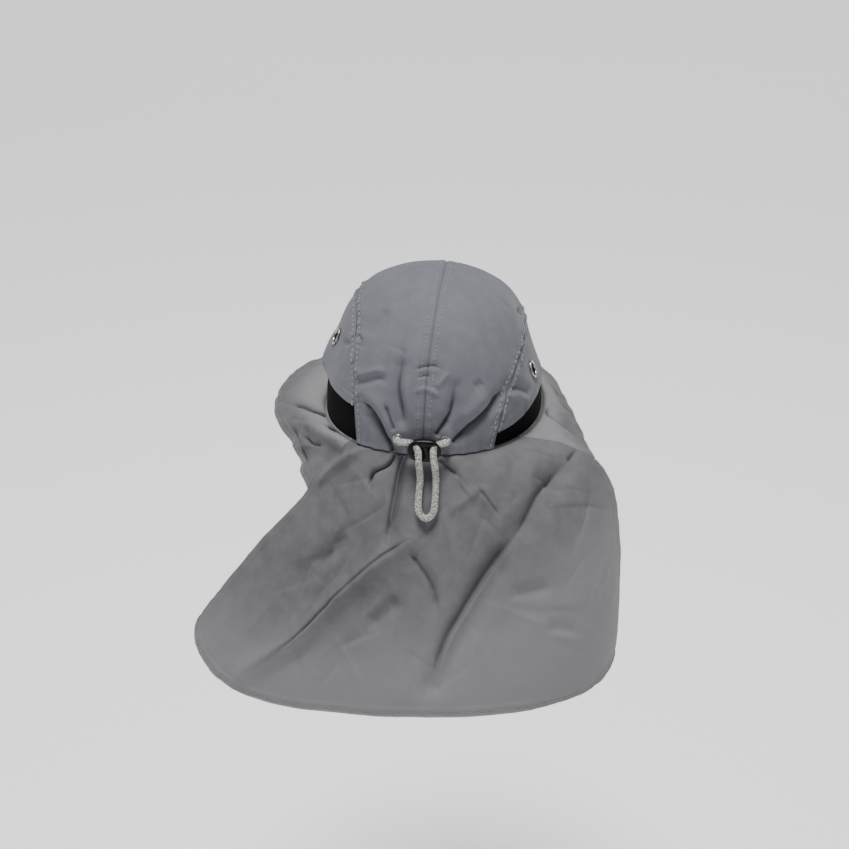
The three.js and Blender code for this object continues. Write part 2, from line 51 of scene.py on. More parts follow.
# Driving dimensions of the cap.
HALF_WIDTH = 84.0
HALF_LENGTH = 96.0
CROWN_HEIGHT = 107.0
CROWN_LEAN = -7.0
CLOTH = 1.2
MESH_CLOTH = 1.0
GAP = 0.3
LANDING = 3.0
BRIM_DEPTH = 70.0
FLAP_LENGTH = 190.0
LEFT_HEM = (27.0, 30.0)
RIGHT_HEM = (11.0, 20.0)
BAND_OVERLAP = 6.0
VENT_EYELET_RADIUS = 6.9
VENT_HOLE_RADIUS = 4.8
VENT_HEIGHTS = (56.5, 37.0)
CORD_DIAMETER = 5.2
CORD_EYELET_RIM = 1.1
CORD_EYELET_HEIGHT = 10.5
CORD_HOLE = CORD_DIAMETER / 2 + 0.25
EYELET_WALL = 0.45
HEM_WIDTH = 7.0
HEM_STITCH = 3.0
SEAM_STITCH = 4.5
SIDE_SEAM_STITCH = 4.0
NET_PITCH = 1.7
WEAVE_PITCH = 0.55

# How far hems, seams and their stitching raise or sink the cloth, and ripple it.
HEM_RISE = 0.45
HEM_GROOVE = 0.32
HEM_PUCKER = 0.55
HEM_WAVE = 9.0
SEAM_RISE = 0.35
SEAM_WIDTH = 5.5
SEAM_GROOVE = 0.9
SEAM_WAVE = 11.0
STITCH_GROOVE = 0.22
CENTRE_RIPPLE = 0.3
SIDE_RIPPLE = 0.95
BASE_ROLL = 0.6
# Painted shade along the seams: how much the colour in their grooves is darkened.
SEAM_PAINTED_SHADE = 0.7

# The gathers by the cord's eyelets, and how uneven worn cloth is.
GATHER_DEPTH = 0.5
GATHER_HEIGHT = 17.0
GATHER_REACH = 34.0
GATHER_WAVES = 52
CROWN_SOFTNESS = 0.6
SKIRT_SOFTNESS = 1.35
CREASE_WIDTH = 4.2
CREASE_DEPTH = 0.9
CREASE_SPREAD = 1.2

# Where painted light turns the flap paler, from its seam, and how that slants across it.
FLAP_LIGHT_START = 88.0
FLAP_LIGHT_SLANT = 0.28
FLAP_LIGHT_WIDTH = 75.0

# Proportions and angles, in degrees round the head from the middle of the back to the wearer's left.
ROUNDNESS = 0.9
SEAM_AT_BASE = 0.6
SEAM_AT_TOP = (0.7, 0.83)
LEFT_NOTCH = 0.26
RIGHT_NOTCH = 0.37
FLAP_LEFT_END = 38.0
FLAP_RIGHT_END = -52.0
RIGHT_JOIN = FLAP_RIGHT_END + 360.0
JOIN_BLEND = 16.0
BAND_START = 33.0
BAND_END = 150.0
HEM_TURN = 45.0
VENT_ANGLE = 79.0
CORD_EYELET_ANGLES = (10.5, -9.0)

# Lines down the flap: seam angle, plan direction, out and drop as shares of its length, bow, sway.
FLAP_ROWS = np.array([
    [-52, -75, 0.425, 0.86, 1.5, -0.06],
    [-43, -65, 0.475, 0.88, 1.0, -0.03],
    [-34, -55, 0.5, 0.88, 0.6, 0],
    [-20, -34, 0.49, 0.87, 0.25, 0],
    [-9, -17, 0.48, 0.86, 0.15, 0],
    [2, 3, 0.46, 0.875, 0.15, 0],
    [13, 26, 0.457, 0.915, 0.15, 0],
    [25, 51, 0.52, 0.965, 0.12, 0],
    [33, 68, 0.62, 0.94, 0.08, 0],
    [38, 82, 0.68, 0.85, 0.05, 0],
])

# Lines out along the brim, with the same columns and shares of the brim's depth.
BRIM_ROWS = np.array([
    [38, 84, 0.47, 0.6, 0, 0],
    [50, 95, 0.41, 0.52, 0.1, 0],
    [60, 99, 0.38, 0.48, 0.15, 0],
    [70, 101, 0.4, 0.41, 0.2, 0],
    [81, 96, 0.51, 0.35, 0.3, 0],
    [92, 102, 0.67, 0.3, 0.3, 0],
    [105, 107, 0.75, 0.29, 0.3, 0],
    [120, 114, 0.84, 0.3, 0.3, 0],
    [135, 122, 0.95, 0.32, 0.3, 0],
    [150, 139, 1.02, 0.36, 0.3, 0],
    [165, 158, 1.0, 0.39, 0.3, 0],
    [180, 180, 1.0, 0.4, 0.3, 0],
    [195, 201, 0.98, 0.4, 0.3, 0],
    [210, 212, 0.82, 0.39, 0.3, 0],
    [225, 225, 0.6, 0.39, 0.3, 0],
    [240, 245, 0.43, 0.39, 0.3, 0],
    [255, 267, 0.41, 0.4, 0.3, 0],
    [270, 275, 0.45, 0.4, 0.3, 0],
    [285, 271, 0.54, 0.36, 0.3, 0],
    [297, 265, 0.66, 0.31, 0.3, 0],
    [308, 260, 0.8, 0.29, 0.3, 0],
])

# Main folds of the crown: angle and height share of where each starts, bends and ends, then its
# width and depth as shares of the half width.
CROWN_FOLDS = [
    (98, 0.34, 91, 0.34, 84, 0.34, 0.15, 0.06),
    (92, 0.76, 95, 0.78, 98, 0.8, 0.34, 0.065),
    (-105, 0.95, -115, 0.95, -125, 0.95, 0.36, -0.06),
    (-88, 0.62, -93, 0.65, -98, 0.68, 0.24, -0.045),
    (-76, 0.4, -90, 0.41, -104, 0.43, 0.24, -0.06),
    (27, 0.22, 22, 0.16, 17, 0.09, 0.05, -0.035),
    (14, 0.57, 13, 0.4, 10, 0.23, 0.06, -0.03),
    (-43, 0.39, -29, 0.26, -17, 0.15, 0.07, -0.04),
    (-13, 0.46, -12, 0.36, -9, 0.23, 0.06, -0.03),
]

# Main folds of the brim and the flap: seam angle and share of where each starts, bends and ends,
# then its width and depth as shares of the brim's depth.
BRIM_FOLDS = [
    (46, 0.35, 52, 0.62, 58, 0.9, 0.16, -0.06),
    (66, 0.84, 60, 0.95, 52, 0.96, 0.14, 0.05),
    (276, 0.1, 279, 0.3, 281, 0.55, 0.12, -0.04),
]
FLAP_FOLDS = [
    (-42, 0.27, -16, 0.5, -3, 0.88, 0.14, -0.07),
    (3, 0.37, 14, 0.54, 29, 0.93, 0.14, 0.06),
    (7, 0.1, 8, 0.22, 7, 0.37, 0.1, -0.035),
    (18, 0.35, 23, 0.46, 27, 0.52, 0.12, -0.035),
    (38, 0.28, 38, 0.36, 36, 0.44, 0.16, -0.055),
]

# The draw cord's route, the same as the model's.
CORD_ROUTE = [
    (17.1, 88.8, 10.8), (18.2, 94.8, 10.8), (18.2, 98.8, 11), (16, 101.6, 11.8),
    (12, 103.2, 12.6), (7.8, 104.4, 12.6), (4.4, 106.8, 11.6), (2.4, 110, 9.4),
    (1.8, 112.4, 5.4), (1.4, 113.2, 0), (0.9, 113.4, -5.5), (0.5, 113.9, -11.5),
    (0.9, 115.9, -18.4), (1.2, 119.4, -24.4), (1.1, 122.3, -29.5), (-0.6, 124.9, -33.5),
    (-4.6, 126.3, -35.4), (-8.6, 125.1, -33.5), (-10.4, 122.4, -29.4), (-10.6, 119.4, -24.4),
    (-10.7, 115.9, -18.4), (-10.8, 113.9, -12), (-10.5, 113.4, -5.5), (-9.7, 113.2, 0.2),
    (-8.9, 112.4, 5.6), (-8.6, 110, 9.5), (-9.4, 106.8, 11.7), (-11.6, 104.4, 12.4),
    (-14.2, 102.2, 12.1), (-16.1, 99.4, 11.2), (-16, 95.2, 10.8), (-15.1, 89, 10.8),
]
LOCK_PLACE = (-1.8, 105.8, 8.3)
LOCK_SIZE = (24.0, 16.0, 8.5)
LOCK_TILT = 12.0

# Rows and columns of the cloth's grids. The top panels' rows lie closer together at the back, and the
# notch is the column of the flap's grid at which the brim's edge meets it.
CROWN_GRID = (421, 97)
BACK_FINENESS = 1.3
SIDE_GRID = (221, 71)
BAND_GRID = (91, 17)
FLAP_GRID_ROWS = 401
BRIM_GRID_ROWS = 521
LANDING_COLUMNS = 4
UPPER_COLUMNS = 58
LOWER_COLUMNS = 124
NOTCH = LANDING_COLUMNS + UPPER_COLUMNS

# The flap's rounded lower corners: degrees round the head, and rise as a share of its length.
LEFT_CORNER = (2.6, 0.06)
RIGHT_CORNER = (4.0, 0.06)

# Rows over which the brim and the flap are smoothed at their joins, and how many times.
JOIN_REACH = 18
JOIN_PASSES = 60

# The photograph's view: where its camera is, and where the origin lies in its 849 pixel frame.
VIEW_AZIMUTH = 185.0
VIEW_ELEVATION = 25.0
VIEW_DISTANCE = 1150.0
FRAME_PIXELS = 849.0
MM_PER_PIXEL = 0.777
ORIGIN_PIXEL = (434.8, 398.0)
SENSOR = 36.0

# Folds seen in the photograph. Paths are places in its frame, in pixels; widths are pixels too, and
# depths are millimetres off the cloth. The darkness given to a fold is painted shade along its
# crease line, and the fades are the shares of its path over which it starts and ends. A pleat lifts
# the side on the left of its way down, and a back pleat the other side.
Fold = namedtuple(
    "Fold", "name pieces kind width depth path grime fade_in fade_out", defaults=(0.75, 0.25, 0.25)
)
LEFT = ("crown_panel_left",)
RIGHT = ("crown_panel_right",)
SIDE_LEFT = ("side_panel_left",)
SIDE_RIGHT = ("side_panel_right",)
BRIM = ("brim",)
FLAP = ("neck_flap",)
FOLD_STRENGTH = 1.6
PHOTO_FOLDS = [
    Fold("left gather", LEFT, "valley", 2.8, -2.4,
         [(355, 397), (367, 406), (376, 418), (388, 441), (392, 452)], fade_in=0.1, fade_out=0.02),
    Fold("left gather's swell", LEFT, "ridge", 7.0, 1.5,
         [(362, 391), (376, 405), (385, 420), (393, 440)], fade_out=0.1),
    Fold("left inner gather", LEFT, "valley", 2.4, -1.5,
         [(384, 404), (389, 418), (394, 431)], fade_out=0.1),
    Fold("left pleat", LEFT, "valley", 2.6, -2.4,
         [(403, 350), (402, 367), (399, 387), (400, 402), (403, 417), (404, 428)], fade_in=0.85),
    Fold("left pleat's swell", LEFT, "ridge", 5.0, 1.2,
         [(407, 372), (407, 395), (410, 420)], fade_in=0.4),
    Fold("right inner gather", RIGHT, "valley", 3.4, -2.4,
         [(455, 388), (451, 410), (445, 421), (435, 436)], fade_in=0.4, fade_out=0.05),
    Fold("right gather", RIGHT, "valley", 2.8, -2.6,
         [(503, 389), (496, 397), (486, 411), (468, 427), (452, 443)], fade_in=0.2, fade_out=0.02),
    Fold("right gather's swell", RIGHT, "ridge", 7.0, 1.6,
         [(488, 392), (475, 408), (462, 423)], fade_in=0.3),
    Fold("upper seam pucker", LEFT + RIGHT, "valley", 3.0, -0.9,
         [(414, 370), (424, 367), (434, 366), (441, 369)], grime=0.4),
    Fold("lower seam pucker", LEFT + RIGHT, "valley", 2.2, -0.6,
         [(417, 378), (424, 376), (431, 377)], grime=0.4),
    Fold("seam arc", LEFT + RIGHT, "ridge", 2.6, 0.9, [(413, 393), (422, 389), (431, 391), (441, 398)]),
    Fold("slant ridge", RIGHT, "ridge", 2.8, 0.8, [(436, 389), (443, 380), (449, 372)]),
    Fold("left facet", LEFT, "ridge", 4.0, 1.2, [(350, 376), (365, 374), (379, 371), (386, 378)]),
    Fold("left facet's shade", LEFT, "dent", 6.0, -1.2,
         [(352, 383), (366, 381), (380, 378), (388, 386)], grime=0.15),
    Fold("upper left fold", LEFT, "dent", 7.0, -1.4,
         [(390, 307), (379, 318), (370, 328), (365, 338)], grime=0.1),
    Fold("right dimple", RIGHT, "dent", 5.0, -0.9, [(483, 381), (478, 385), (474, 388)], grime=0.15),
    Fold("high right dimple", RIGHT + SIDE_RIGHT, "valley", 3.0, -1.0,
         [(517, 308), (520, 311), (523, 315)], grime=0.5),
    Fold("right side fold", SIDE_RIGHT, "dent", 5.0, -1.8,
         [(505, 387), (514, 386), (524, 389), (531, 395)], grime=0.35, fade_in=0.1),
    Fold("right side swell", SIDE_RIGHT, "ridge", 4.5, 1.2,
         [(508, 397), (518, 396), (530, 402)], fade_in=0.15),
    Fold("left side tuck", SIDE_LEFT, "dent", 4.0, -1.1,
         [(341, 344), (346, 343), (350, 341)], grime=0.3),
    Fold("left side crease", LEFT + SIDE_LEFT, "valley", 2.4, -0.9,
         [(356, 334), (360, 341), (358, 349)], grime=0.4),
    Fold("lobe crease", BRIM, "valley", 3.6, -2.4,
         [(285, 402), (300, 405), (316, 411), (334, 419)], grime=0.6),
    Fold("lobe tuck", BRIM + FLAP, "valley", 2.8, -2.4, [(322, 425), (335, 431), (354, 440)], grime=0.6),
    Fold("lobe swell", BRIM, "ridge", 6.0, 2.0, [(297, 416), (312, 425), (330, 437), (350, 446)]),
    Fold("lobe hollow", BRIM, "valley", 4.6, -2.0,
         [(290, 424), (295, 440), (301, 455), (306, 468)], grime=0.3),
    Fold("lobe side crease", BRIM, "valley", 3.0, -1.3, [(301, 436), (312, 444), (324, 445)], grime=0.4),
    Fold("lobe triangle", BRIM + FLAP, "dent", 6.0, -2.0,
         [(344, 449), (332, 456), (320, 464)], grime=0.3),
    Fold("lobe ridge", BRIM + FLAP, "ridge", 4.4, 3.0, [(366, 446), (348, 459), (330, 473), (311, 490)]),
    Fold("right lobe crease", BRIM, "valley", 4.0, -2.4, [(543, 407), (557, 419), (571, 430)]),
    Fold("right lobe swell", BRIM, "ridge", 6.0, 1.4, [(545, 418), (556, 430), (566, 442)]),
    Fold("right lobe dimple", BRIM + FLAP, "valley", 5.0, -1.5,
         [(577, 449), (573, 455), (568, 461)], grime=0.35),
    Fold("flap hook", FLAP, "valley", 2.8, -2.2,
         [(396, 449), (391, 461), (384, 467), (373, 472), (369, 481), (371, 491)], fade_in=0.05),
    Fold("flap gather", FLAP, "pleat", 7.0, 1.6,
         [(408, 449), (402, 466), (398, 482), (395, 502), (391, 521), (387, 545)],
         fade_in=0.05, fade_out=0.4),
    Fold("flap gather's edge", FLAP, "valley", 2.8, -2.0,
         [(404, 452), (399, 466), (396, 482), (393, 500), (389, 522), (386, 545)], fade_in=0.05),
    Fold("right flap gather", FLAP, "valley", 3.4, -1.8,
         [(438, 459), (447, 467), (459, 476)], fade_in=0.1),
    Fold("flap chevron", FLAP, "ridge", 5.0, 1.2,
         [(444, 516), (462, 503), (480, 490), (488, 502), (497, 516)]),
    Fold("long valley's start", FLAP, "valley", 7.0, -2.0,
         [(562, 468), (549, 482), (537, 495), (527, 516), (516, 538)], grime=0.35),
    Fold("long valley", FLAP, "back pleat", 9.0, 2.2,
         [(516, 538), (489, 573), (463, 614), (448, 640), (437, 671), (433, 690)], fade_in=0.15),
    Fold("middle shade", FLAP, "valley", 4.4, -1.6,
         [(410, 552), (417, 564), (431, 586), (438, 614)], grime=0.45, fade_in=0.1),
    Fold("long ridge", FLAP, "ridge", 6.0, 2.4,
         [(405, 543), (376, 564), (355, 582), (339, 597), (305, 632), (269, 655), (237, 676)],
         fade_in=0.2, fade_out=0.3),
    Fold("dent by the ridge", FLAP, "dent", 8.5, -1.9,
         [(345, 532), (332, 547), (321, 558), (314, 570)], grime=0.2),
    Fold("ridge's edge", FLAP, "valley", 3.2, -1.6,
         [(407, 540), (376, 560), (340, 592), (305, 628), (272, 655), (243, 675)],
         grime=0.5, fade_in=0.1, fade_out=0.4),
    Fold("chevron's edge", FLAP, "valley", 3.2, -1.2, [(476, 486), (487, 499), (500, 517)], grime=0.4),
    Fold("lower dent", FLAP, "dent", 9.0, -1.8, [(400, 597), (384, 611), (366, 628)], grime=0.22),
    Fold("right blotch", FLAP, "dent", 8.0, -1.5, [(508, 596), (530, 592), (553, 586)], grime=0.2),
    Fold("right lower blotch", FLAP, "dent", 8.0, -1.2,
         [(544, 630), (562, 628), (580, 632)], grime=0.15),
    Fold("right upper blotch", FLAP, "valley", 6.0, -0.8,
         [(531, 474), (542, 480), (555, 489)], grime=0.1),
]

SIZES = np.array([HALF_WIDTH, HALF_LENGTH, CROWN_HEIGHT])
UP = np.array([0.0, 0.0, 1.0])


def power(value, exponent):
    return np.sign(value) * np.abs(value) ** exponent


def mix(a, b, t):
    return a + (b - a) * t


def smooth_step(t):
    t = np.clip(t, 0, 1)
    return t * t * (3 - 2 * t)


def bell(value, width):
    """1 at zero, and falling away to both sides over about that width."""
    return np.exp(-((value / width) ** 2))


def unit(vectors):
    return vectors / np.maximum(np.linalg.norm(vectors, axis=-1, keepdims=True), 1e-9)


def stacked(*parts):
    """Coordinates put together as points."""
    return np.stack(np.broadcast_arrays(*parts), -1)


def interpolated(line, keys, at):
    """Points of a line where its keys take the values asked for."""
    return stacked(*[np.interp(at, keys, line[:, axis]) for axis in range(3)])


def row_at(rows, at):
    """A table's columns at values of its first column, on a smooth curve through the rows."""
    keys = rows[:, 0]
    values = rows[:, 1:]
    last = len(rows) - 1
    i = np.clip(np.searchsorted(keys, at, side="right") - 1, 0, last - 1)
    before = np.maximum(np.arange(last + 1) - 1, 0)
    after = np.minimum(np.arange(last + 1) + 1, last)
    slopes = (values[after] - values[before]) / (keys[after] - keys[before])[:, None]
    span = (keys[i + 1] - keys[i])[..., None]
    t = ((at - keys[i]) / (keys[i + 1] - keys[i]))[..., None]
    rise = span * (t**3 - 2 * t**2 + t) * slopes[i]
    fall = span * (t**3 - t**2) * slopes[i + 1]
    return mix(values[i], values[i + 1], 3 * t**2 - 2 * t**3) + rise + fall


def crown_form(across, arch):
    """The crown before it is folded, by its angle across the head and its angle over it."""
    side = power(np.cos(across), ROUNDNESS)
    return stacked(
        HALF_WIDTH * power(np.sin(across), ROUNDNESS),
        HALF_LENGTH * side * power(np.cos(arch), ROUNDNESS),
        CROWN_HEIGHT * side * power(np.sin(arch), ROUNDNESS),
    )


def crown_at(angle, height):
    """The same form by the angle round the head and the height above the base seam."""
    angle, height = np.broadcast_arrays(np.asarray(angle, float), np.asarray(height, float))
    share = (1 - np.clip(height / CROWN_HEIGHT, 0, 1) ** (2 / ROUNDNESS)) ** (ROUNDNESS / 2)
    turn = np.radians(angle)
    return stacked(
        HALF_WIDTH * share * power(np.sin(turn), ROUNDNESS),
        HALF_LENGTH * share * power(np.cos(turn), ROUNDNESS),
        height,
    )


def crown_normal(form):
    steep = 2 / ROUNDNESS - 1
    normal = power(form / SIZES, steep) / SIZES
    normal[..., 2] = np.where(form[..., 2] > GAP, normal[..., 2], 0)
    return unit(normal)


def segment_distance(points, start, end):
    along = end - start
    t = np.clip(((points - start) @ along) / (along @ along), 0, 1)
    return np.linalg.norm(points - start - t[..., None] * along, axis=-1)


def lift_of(folds, points):
    lift = np.zeros(points.shape[:-1])
    for start, middle, end, width, depth in folds:
        away = np.minimum(
            segment_distance(points, start, middle), segment_distance(points, middle, end)
        )
        lift += depth * bell(away, width)
    return lift


def fold_lines(rows, form, size):
    """A table's folds as lines in space, with their widths and depths."""
    return [
        (form(*row[:2]), form(*row[2:4]), form(*row[4:6]), row[6] * size, row[7] * size)
        for row in rows
    ]


def crown_place(angle, share):
    """A place on the crown by its angle and its share of the crown's height."""
    return crown_at(angle, share * CROWN_HEIGHT)


CROWN_FOLD_LINES = fold_lines(CROWN_FOLDS, crown_place, HALF_WIDTH)


def crown_point(form, inset=0.0, limit=np.inf):
    """A point of the crown's cloth, inset from its outer face."""
    lift = np.minimum(lift_of(CROWN_FOLD_LINES, form), limit) - inset
    lean = CROWN_LEAN * (form[..., 2] / CROWN_HEIGHT) ** 2
    point = form + crown_normal(form) * lift[..., None]
    point[..., 0] += lean
    point[..., 2] += GAP
    return point


def seam_across(seam_top, arch):
    """The angle across the head at which a side seam runs."""
    return np.arcsin(mix(SEAM_AT_BASE, seam_top, np.sin(arch)) ** (1 / ROUNDNESS))


def angle_of(form):
    x = power(form[..., 0] / HALF_WIDTH, 1 / ROUNDNESS)
    y = power(form[..., 1] / HALF_LENGTH, 1 / ROUNDNESS)
    return np.degrees(np.arctan2(x, y))


def hem_height(hem, angle):
    from_end = np.minimum(angle - BAND_START, BAND_END - angle)
    return mix(hem[0], hem[1], smooth_step(from_end / HEM_TURN))


def line_point(rows, length, angle, share):
    """A point on a line of the brim or flap, share of the way from the seam to the edge."""
    angle, share = np.broadcast_arrays(np.asarray(angle, float), np.asarray(share, float))
    aim, out, drop, bow, sway = np.moveaxis(row_at(rows, angle), -1, 0)
    aim = np.radians(aim)
    out = length * out * (1 - np.maximum(1 - share, 0) ** (1 + bow))
    drop = length * drop * np.maximum(share, 0) ** (1 + bow)
    sway = length * sway * np.sin(np.pi * share)
    east = out * np.sin(aim) + sway * np.cos(aim)
    north = out * np.cos(aim) - sway * np.sin(aim)
    return crown_at(angle, 0.0) + stacked(east, north, -drop)


def flap_form(angle, share):
    return line_point(FLAP_ROWS, FLAP_LENGTH, angle, share)


def brim_form(angle, share):
    """The brim keeps to the flap's side at each join, and takes its own line away from it."""
    angle, share = np.broadcast_arrays(np.asarray(angle, float), np.asarray(share, float))

    def own(at):
        return line_point(BRIM_ROWS, BRIM_DEPTH, at, share)

    left = 1 - smooth_step((angle - FLAP_LEFT_END) / JOIN_BLEND)
    right = 1 - smooth_step((RIGHT_JOIN - angle) / JOIN_BLEND)
    at_left = flap_form(FLAP_LEFT_END, share * LEFT_NOTCH) - own(FLAP_LEFT_END)
    at_right = flap_form(FLAP_RIGHT_END, share * RIGHT_NOTCH) - own(RIGHT_JOIN)
    return own(angle) + at_left * left[..., None] + at_right * right[..., None]


SKIRT_FOLD_LINES = fold_lines(BRIM_FOLDS, brim_form, BRIM_DEPTH)
SKIRT_FOLD_LINES += fold_lines(FLAP_FOLDS, flap_form, BRIM_DEPTH)


def skirt_normal(form, angle, share):
    step = 0.01
    turn = form(angle + step, share) - form(angle - step, share)
    fall = form(angle, np.minimum(share + step, 1)) - form(angle, np.maximum(share - step, 0))
    return unit(np.cross(turn, fall))


def skirt_point(form, angle, share):
    """A point of the brim's or flap's outer face."""
    point = form(angle, share)
    lift = lift_of(SKIRT_FOLD_LINES, point) * smooth_step(share * 5)
    return point + skirt_normal(form, angle, share) * lift[..., None]


# The view's axes: right and up in the picture, and back towards the camera.
TURN = math.radians(VIEW_AZIMUTH)
RISE = math.radians(VIEW_ELEVATION)
VIEW_BACK = np.array(
    [math.sin(TURN) * math.cos(RISE), -math.cos(TURN) * math.cos(RISE), math.sin(RISE)]
)
VIEW_RIGHT = unit(np.cross(UP, VIEW_BACK))
VIEW_UP = np.cross(VIEW_BACK, VIEW_RIGHT)
FOCAL_PIXELS = VIEW_DISTANCE / MM_PER_PIXEL


def project(points):
    """Where points lie in the picture, in pixels from its top left corner."""
    depth = VIEW_DISTANCE - points @ VIEW_BACK
    return stacked(
        ORIGIN_PIXEL[0] + FOCAL_PIXELS * (points @ VIEW_RIGHT) / depth,
        ORIGIN_PIXEL[1] - FOCAL_PIXELS * (points @ VIEW_UP) / depth,
    )


def noise(points, size, seed):
    """Smooth noise from -1 to 1 at points, with bumps of about that size."""
    place = points / size + np.array([17.3, 5.1, 29.7]) * (seed + 1)
    cell = np.floor(place).astype(np.int64)
    part = place - cell
    part = part * part * part * (part * (part * 6 - 15) + 10)
    total = np.zeros(points.shape[:-1])
    for corner in range(8):
        bits = np.array([corner & 1, (corner >> 1) & 1, (corner >> 2) & 1])
        at = cell + bits
        key = at[..., 0] * 73856093 ^ at[..., 1] * 19349663 ^ at[..., 2] * 83492791 ^ seed * 2654435
        key = (key * 1103515245 + 12345) & 0x7FFFFFFF
        key = ((key >> 8) ^ key) * 48271 % 0x7FFFFFFF
        value = key / 0x3FFFFFFF - 1
        weight = np.prod(np.where(bits == 1, part, 1 - part), -1)
        total += value * weight
    return total


def creases(points, seed, count, length):
    """Short straight creases strewn over a grid of cloth, most of them dents, about its columns."""
    random = np.random.default_rng(seed)
    rows, columns = points.shape[:2]
    lift = np.zeros((rows, columns))
    for _ in range(count):
        i = random.integers(rows // 12, rows - rows // 12)
        j = random.integers(columns // 10, columns - columns // 10)
        down = unit(points[i, j + 2] - points[i, j - 2])
        across = unit(points[i + 2, j] - points[i - 2, j])
        turn = random.uniform(-CREASE_SPREAD, CREASE_SPREAD)
        along = unit(down * math.cos(turn) + across * math.sin(turn))
        reach = length * random.uniform(0.35, 1.0) / 2
        wide = CREASE_WIDTH * random.uniform(0.6, 1.4)
        deep = CREASE_DEPTH * random.uniform(0.35, 1.0) * random.choice([-1.0, -1.0, 0.8])
        off = points - points[i, j]
        t = off @ along
        beside = off - t[..., None] * along
        away = np.linalg.norm(beside, axis=-1)
        steep = np.where(beside @ np.cross(along, unit(np.cross(down, across))) > 0, 0.5, 1.2)
        taper = np.exp(-np.abs(t / reach) ** 3)
        lift += deep * np.exp(-((away / (wide * steep)) ** 1.4)) * taper
    return lift


def path_distance(places, path):
    """Distance from places in a plane to a path, which side they lie on, and how far along it."""
    nearest = np.full(places.shape[:-1], np.inf)
    side = np.zeros(places.shape[:-1])
    along = np.zeros(places.shape[:-1])
    ends = np.array(path, float)
    steps = np.linalg.norm(np.diff(ends, axis=0), axis=1)
    total = steps.sum()
    done = 0.0
    for start, end, length in zip(ends[:-1], ends[1:], steps):
        forward = (end - start) / length
        reach = (places - start) @ forward
        t = np.clip(reach, 0, length)
        away = places - start - t[..., None] * forward
        distance = np.linalg.norm(away, axis=-1)
        closer = distance < nearest
        nearest = np.where(closer, distance, nearest)
        cross = forward[0] * away[..., 1] - forward[1] * away[..., 0]
        side = np.where(closer, cross, side)
        along = np.where(closer, (done + t) / total, along)
        done += length
    return nearest, side, along


def smooth_curve(points, count, tension):
    """A smooth curve through points, with count steps between each two of them.

    A tension of 0 takes all gaps as equal, and 0.5 goes by the root of each gap's length.
    """
    points = np.array(points, float)
    ends = np.vstack([2 * points[0] - points[1], points, 2 * points[-1] - points[-2]])
    gaps = np.linalg.norm(np.diff(ends, axis=0), axis=1) ** tension
    t = np.linspace(0, 1, count, endpoint=False)[:, None]
    parts = []
    for k in range(len(points) - 1):
        a, b, c, d = ends[k : k + 4]
        before, span, after = gaps[k : k + 3]
        way = c - b
        leave = span * ((b - a) / before - (c - a) / (before + span)) + way
        arrive = span * ((d - c) / after - (d - b) / (span + after)) + way
        bend = t**2 * (3 * way - 2 * leave - arrive) + t**3 * (leave + arrive - 2 * way)
        parts.append(b + t * leave + bend)
    return np.concatenate([*parts, points[-1:]])


def picture_folds(points, normals, piece):
    """The lift of the photograph's folds on a piece, and the shade painted along their creases, where it
    faces the camera.
    """
    seen = project(points)
    to_camera = unit(VIEW_BACK * VIEW_DISTANCE - points)
    facing = smooth_step(np.sum(normals * to_camera, -1) / 0.12 + 0.5)
    lift = np.zeros(points.shape[:-1])
    grime = np.zeros(points.shape[:-1])
    for fold in PHOTO_FOLDS:
        if piece not in fold.pieces:
            continue
        nearest, side, along = path_distance(seen, smooth_curve(fold.path, 8, 0))
        fade_in = smooth_step(along / fold.fade_in)
        fade_out = smooth_step((1 - along) / fold.fade_out)
        taper = (0.15 + 0.85 * fade_in) * (0.15 + 0.85 * fade_out)
        away = nearest / fold.width
        over = -1 if fold.kind == "back pleat" else 1
        low = 0.0
        if fold.kind == "ridge":
            shape = np.exp(-(away**2))
        elif fold.kind == "dent":
            shape = bell(away, np.where(side > 0, 0.8, 1.1))
        elif fold.kind == "valley":
            shape = np.exp(-((away / np.where(side > 0, 0.6, 1.15)) ** 1.3))
            shape += 0.35 * bell(away, 0.4)
        else:
            shape = np.tanh(side / (0.14 * fold.width)) * np.exp(-(away**2)) * over
            low = 0.3 * fold.width * over
        lift += FOLD_STRENGTH * fold.depth * shape * taper
        # Dents, valleys and pleats darken the colour along their line: painted shade in the crease.
        if fold.kind != "ridge":
            line = bell(side + low, 0.42 * fold.width) * (away < 2)
            grime = np.maximum(grime, line * taper * fold.grime)
    return lift * facing, grime * facing


def arc_lengths(line):
    """Distance along a line of points, from its first."""
    steps = np.linalg.norm(np.diff(line, axis=0), axis=1)
    return np.concatenate([[0.0], np.cumsum(steps)])


